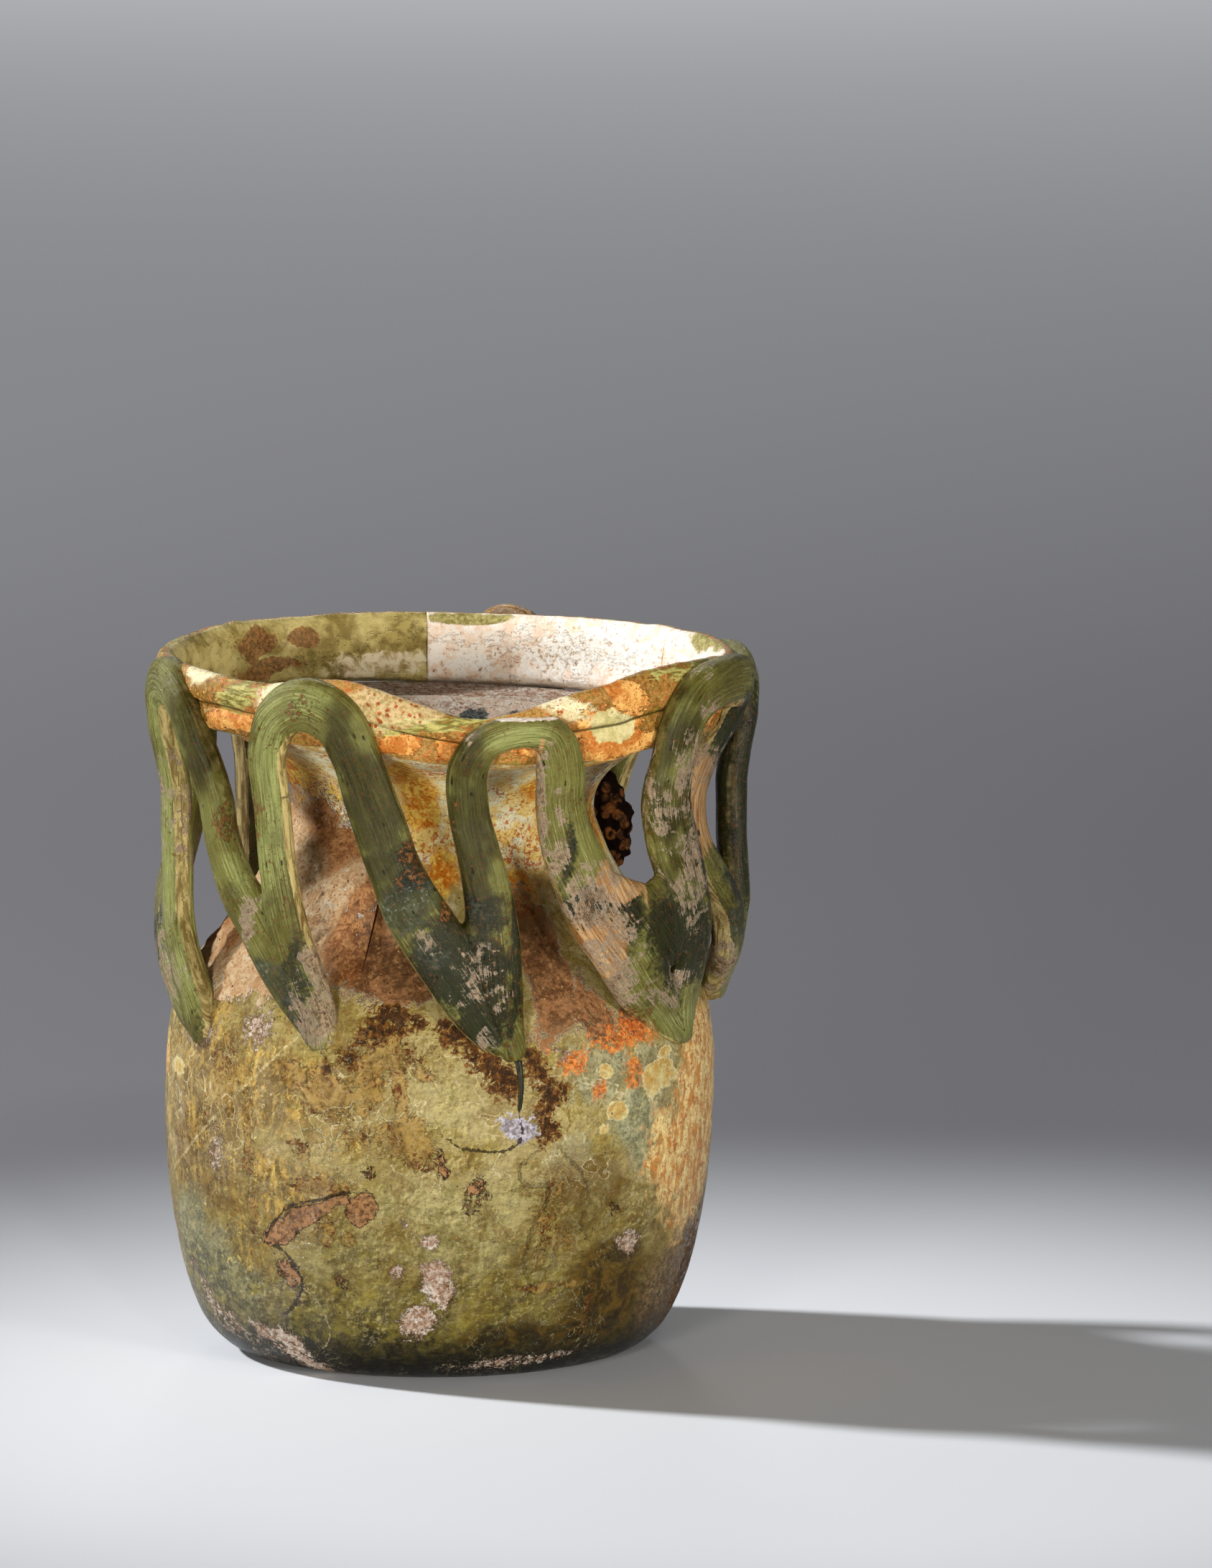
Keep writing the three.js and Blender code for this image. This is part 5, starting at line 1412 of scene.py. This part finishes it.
def crust_sheet(name, azimuths, heights, line, mm, thick, sunk, seed):
    """Deposit on a wall with a given outline: its outer face stands off by a lens shape plus noise and dips into
    the wall at its edge. A thickness below nothing stands off inward."""
    a = np.radians(np.linspace(*azimuths, 260))[:, None]
    h = np.linspace(*heights, 120)[None]
    u = 2 * (a - a[0]) / (a[-1] - a[0]) - 1
    v = 2 * (h - heights[0]) / (heights[1] - heights[0]) - 1
    a, h = np.broadcast_arrays(a, h)
    radius, tall = np.interp(h, line[:, 1], line[:, 0]), settled_height(a, h, mm)
    flat = placed(a, radius, tall).reshape(-1, 3)
    lumps = (noise(flat, 5, seed, 2) * 0.55 + noise(flat, 1.6, seed + 3, 3) * 0.3
             + noise(flat, 0.5, seed + 7, 2) * 0.12)
    lens = np.clip(1.15 - np.hypot(u, v) ** 2.5, -0.3, 1)
    off = abs(thick) * (lens + lumps.reshape(a.shape) * 0.9) - 0.15 * abs(thick)
    off = np.sign(thick) * np.clip(off, -0.25, 2.2)
    outer = placed(a, radius + off, tall)
    inner = placed(a, radius - sunk, tall)[:, ::-8]
    return skin(name, np.concatenate([outer, inner], axis=1))


class JAR_OT_deposits(bpy.types.Operator):
    """Lime crusts on the neck and in the mouth, and soil behind the loops"""

    bl_idname = "jar.deposits"
    bl_label = "Crusts and soil"

    def execute(self, context):
        mm = in_millimetres(context)
        outer, inner = vessel_outline(mm, WALL_POINTS), vessel_outline(mm, WALL_POINTS, mm.wall)
        neck = crust_sheet("neck_crust", (-118, -20), (51, 79), outer, mm, 1.1, 0.6, 41)
        azimuth, _, height = unplaced(places_of(neck.data))
        store_patches(neck, NECK_STAINS_AND_SHADOW, azimuth, height, 26)
        material = lime_material("pinkish_lime", 0.75, (220, 172, 124), (252, 220, 174))
        dress(neck, "neck_lime_crust", material)
        mouth = crust_sheet("mouth_crust", (96, 200), (75, 86.6), inner, mm, -0.9, -0.6, 51)
        azimuth, _, height = unplaced(places_of(mouth.data))
        store_patches(mouth, MOUTH_STAINS, azimuth, height, 28)
        material = lime_material("mouth_lime", 0.35, (236, 206, 180), (255, 240, 222))
        dress(mouth, "mouth_lime_crust", material)
        low, high = corners_of("soil_lump")
        turns, tilts = np.meshgrid(full_turn(180), np.linspace(0.02, np.pi - 0.02, 120))
        ball = np.stack([np.sin(tilts) * np.cos(turns), np.sin(tilts) * np.sin(turns), np.cos(tilts)], -1)
        clump = skin("soil_clump", (low + high) / 2 + ball * (high - low) / 2 * 0.98)
        at = places_of(clump.data)
        fine, big = crumbs(at, 420, 61), crumbs(at, 70, 67)
        push = 0.5 - 0.55 * fine - 0.3 * big + 0.5 * noise(at, 3, 71, 3)
        move(clump, at + normals_of(clump) * push[:, None])
        store(clump, "painted_shade_hollow", smoothstep(fine, 0.7, 1.6))
        dress(clump, "soil_lump", soil_material(context))
        return {"FINISHED"}


class JAR_OT_traces(bpy.types.Operator):
    """Dark drip under the front tip, and the pontil scar under the base"""

    bl_idname = "jar.traces"
    bl_label = "Drip and pontil scar"

    def execute(self, context):
        mm = in_millimetres(context)
        line = vessel_outline(mm, WALL_POINTS)
        share = np.linspace(0, 1, 60)[:, None]
        height = np.linspace(45.4, 38.3, 60)[:, None]
        wide = 0.5 * (1 - 0.45 * share) * np.clip((1 - share) * 12, 0.1, 1)
        turn = full_turn(24)[None]
        radius = np.interp(height, line[:, 1], line[:, 0]) + 0.1
        azimuth = np.radians(16.2 + 0.5 * np.sin(3 * share)) + wide * np.cos(turn) / radius
        drip = skin("dark_drip", placed(azimuth, radius + 0.45 * wide * np.sin(turn), height + 0 * turn))
        dress(drip, "trail_drip", dark_material("dark_thread", (20, 20, 6), (48, 46, 18)))
        low, high = corners_of("pontil_scar")
        middle = (low + high) / 2
        around_ring, section = full_turn(160)[:, None], full_turn(20)[None]
        bead = 0.95 * (1 + 0.12 * np.sin(5 * around_ring) + 0.08 * np.sin(11 * around_ring))
        reach = (high[0] - low[0]) / 2 - 1 + bead * np.cos(section)
        ring = np.stack([middle[0] + reach * np.cos(around_ring), middle[1] + reach * np.sin(around_ring),
                         high[2] - 0.5 + 0.45 * bead * np.sin(section) + 0 * around_ring], -1)
        scar = skin("pontil_ring", ring, round_trip=True)
        dress(scar, "pontil_scar", dark_material("scar_glass", (96, 92, 48), (160, 150, 96)))
        return {"FINISHED"}


def put(data, place, target):
    """Object for a lamp or camera at a place in metres, turned so that it looks at a target."""
    thing = bpy.data.objects.new(data.name, data)
    bpy.context.scene.collection.objects.link(thing)
    thing.location = place
    thing.rotation_euler = (Vector(target) - thing.location).to_track_quat("-Z", "Y").to_euler()
    return thing


def lamp(name, kind, place, target, **settings):
    """Lamp with its settings at a place in metres that looks at a target."""
    light = bpy.data.lights.new(name, kind)
    for key, value in settings.items():
        setattr(light, key, value)
    put(light, place, target)


class JAR_OT_stage(bpy.types.Operator):
    """Floor, pale in a painted pool of light, soft lamps, world and camera"""

    bl_idname = "jar.stage"
    bl_label = "Stage"

    def execute(self, context):
        scene = context.scene
        scene.view_settings.view_transform = "Standard"
        edge = np.array([(-1, -1, 0), (1, -1, 0), (1, 1, 0), (-1, 1, 0)], float) * FLOOR_REACH
        floor = mesh_object("floor", edge, np.array([[0, 1, 2, 3]]))
        r = Recipe("floor_painted_light_pool", Specular_IOR_Level=0.2)
        # Painted pool of light on the floor: pale round a spot in front of and right of the jar, darkening
        # outward, then lighter far off where the floor stands as the backdrop
        centre = r.add("ShaderNodeMapping", {"Vector": r.place, "Location": (-40, 60, 0)}).outputs[0]
        away = r.add("ShaderNodeVectorMath", {0: centre}, operation="LENGTH").outputs["Value"]
        pale = tuple(scene.jar_colours.floor) + (1,)
        r.colour = r.over(r.ease(away, 70, 250), pale, (0.165, 0.165, 0.18, 1))
        r.lay(r.ease(away, 500, 2200), (0.72, 0.73, 0.77, 1))
        grain = r.cloud(0.8, 3)
        floor.data.materials.append(r.finish(r.sum(0.7, (grain, 0.1)), r.relief(grain, 0.02)))
        for name, place, target, size, power, colour in LAMPS:
            lamp(name, "AREA", place, target, shape="DISK", size=size, energy=power, color=colour)
        lamp("mouth_fill", "SPOT", (0.25, -1.4, 0.85), (0, 0, 0.082), energy=30.0, color=WARM,
             shadow_soft_size=0.06, spot_size=math.radians(5.0), spot_blend=1.0)
        scene.world = bpy.data.worlds.new("studio")
        scene.world.use_nodes = True
        tree = scene.world.node_tree
        path = tree.nodes.new("ShaderNodeLightPath")
        mix = tree.nodes.new("ShaderNodeMix")
        mix.data_type = "RGBA"
        mix.inputs[6].default_value = (0.06, 0.06, 0.062, 1)
        mix.inputs[7].default_value = (0.165, 0.166, 0.18, 1)
        seen = path.outputs["Is Camera Ray"]
        for ray in ("Is Glossy Ray", "Is Transmission Ray"):
            both = tree.nodes.new("ShaderNodeMath")
            both.operation = "MAXIMUM"
            tree.links.new(seen, both.inputs[0])
            tree.links.new(path.outputs[ray], both.inputs[1])
            seen = both.outputs[0]
        tree.links.new(seen, mix.inputs[0])
        tree.links.new(mix.outputs[2], tree.nodes["Background"].inputs[0])
        tree.nodes["Background"].inputs[1].default_value = 1.0
        view = bpy.data.cameras.new("photo_view")
        view.sensor_fit, view.sensor_height, view.lens = "VERTICAL", 36.0, 268.45
        scene.camera = put(view, (-0.002648, -1.590148, 0.297), (0.02091, -0.000148, 0.078))
        return {"FINISHED"}


class JAR_PT_panel(bpy.types.Panel):
    """Sizes, colours and steps of the jar"""

    bl_idname = "JAR_PT_panel"
    bl_label = "Trailed jar"
    bl_space_type = "VIEW_3D"
    bl_region_type = "UI"
    bl_category = "Jar"

    def draw(self, context):
        for group in (context.scene.jar_sizes, context.scene.jar_colours):
            box = self.layout.box()
            for name in group.__annotations__:
                box.prop(group, name)
        for step in STEPS:
            self.layout.operator(step.bl_idname)


STEPS = (JAR_OT_vessel, JAR_OT_rim, JAR_OT_trail, JAR_OT_deposits, JAR_OT_traces, JAR_OT_stage)
CLASSES = (JarSizes, JarColours, *STEPS, JAR_PT_panel)


def register():
    for item in CLASSES:
        bpy.utils.register_class(item)
    bpy.types.Scene.jar_sizes = bpy.props.PointerProperty(type=JarSizes)
    bpy.types.Scene.jar_colours = bpy.props.PointerProperty(type=JarColours)


def unregister():
    del bpy.types.Scene.jar_colours
    del bpy.types.Scene.jar_sizes
    for item in reversed(CLASSES):
        bpy.utils.unregister_class(item)


def main():
    """Registers the add-on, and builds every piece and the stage."""
    register()
    for step in ("vessel", "rim", "trail", "deposits", "traces", "stage"):
        getattr(bpy.ops.jar, step)()


if __name__ == "__main__":
    main()
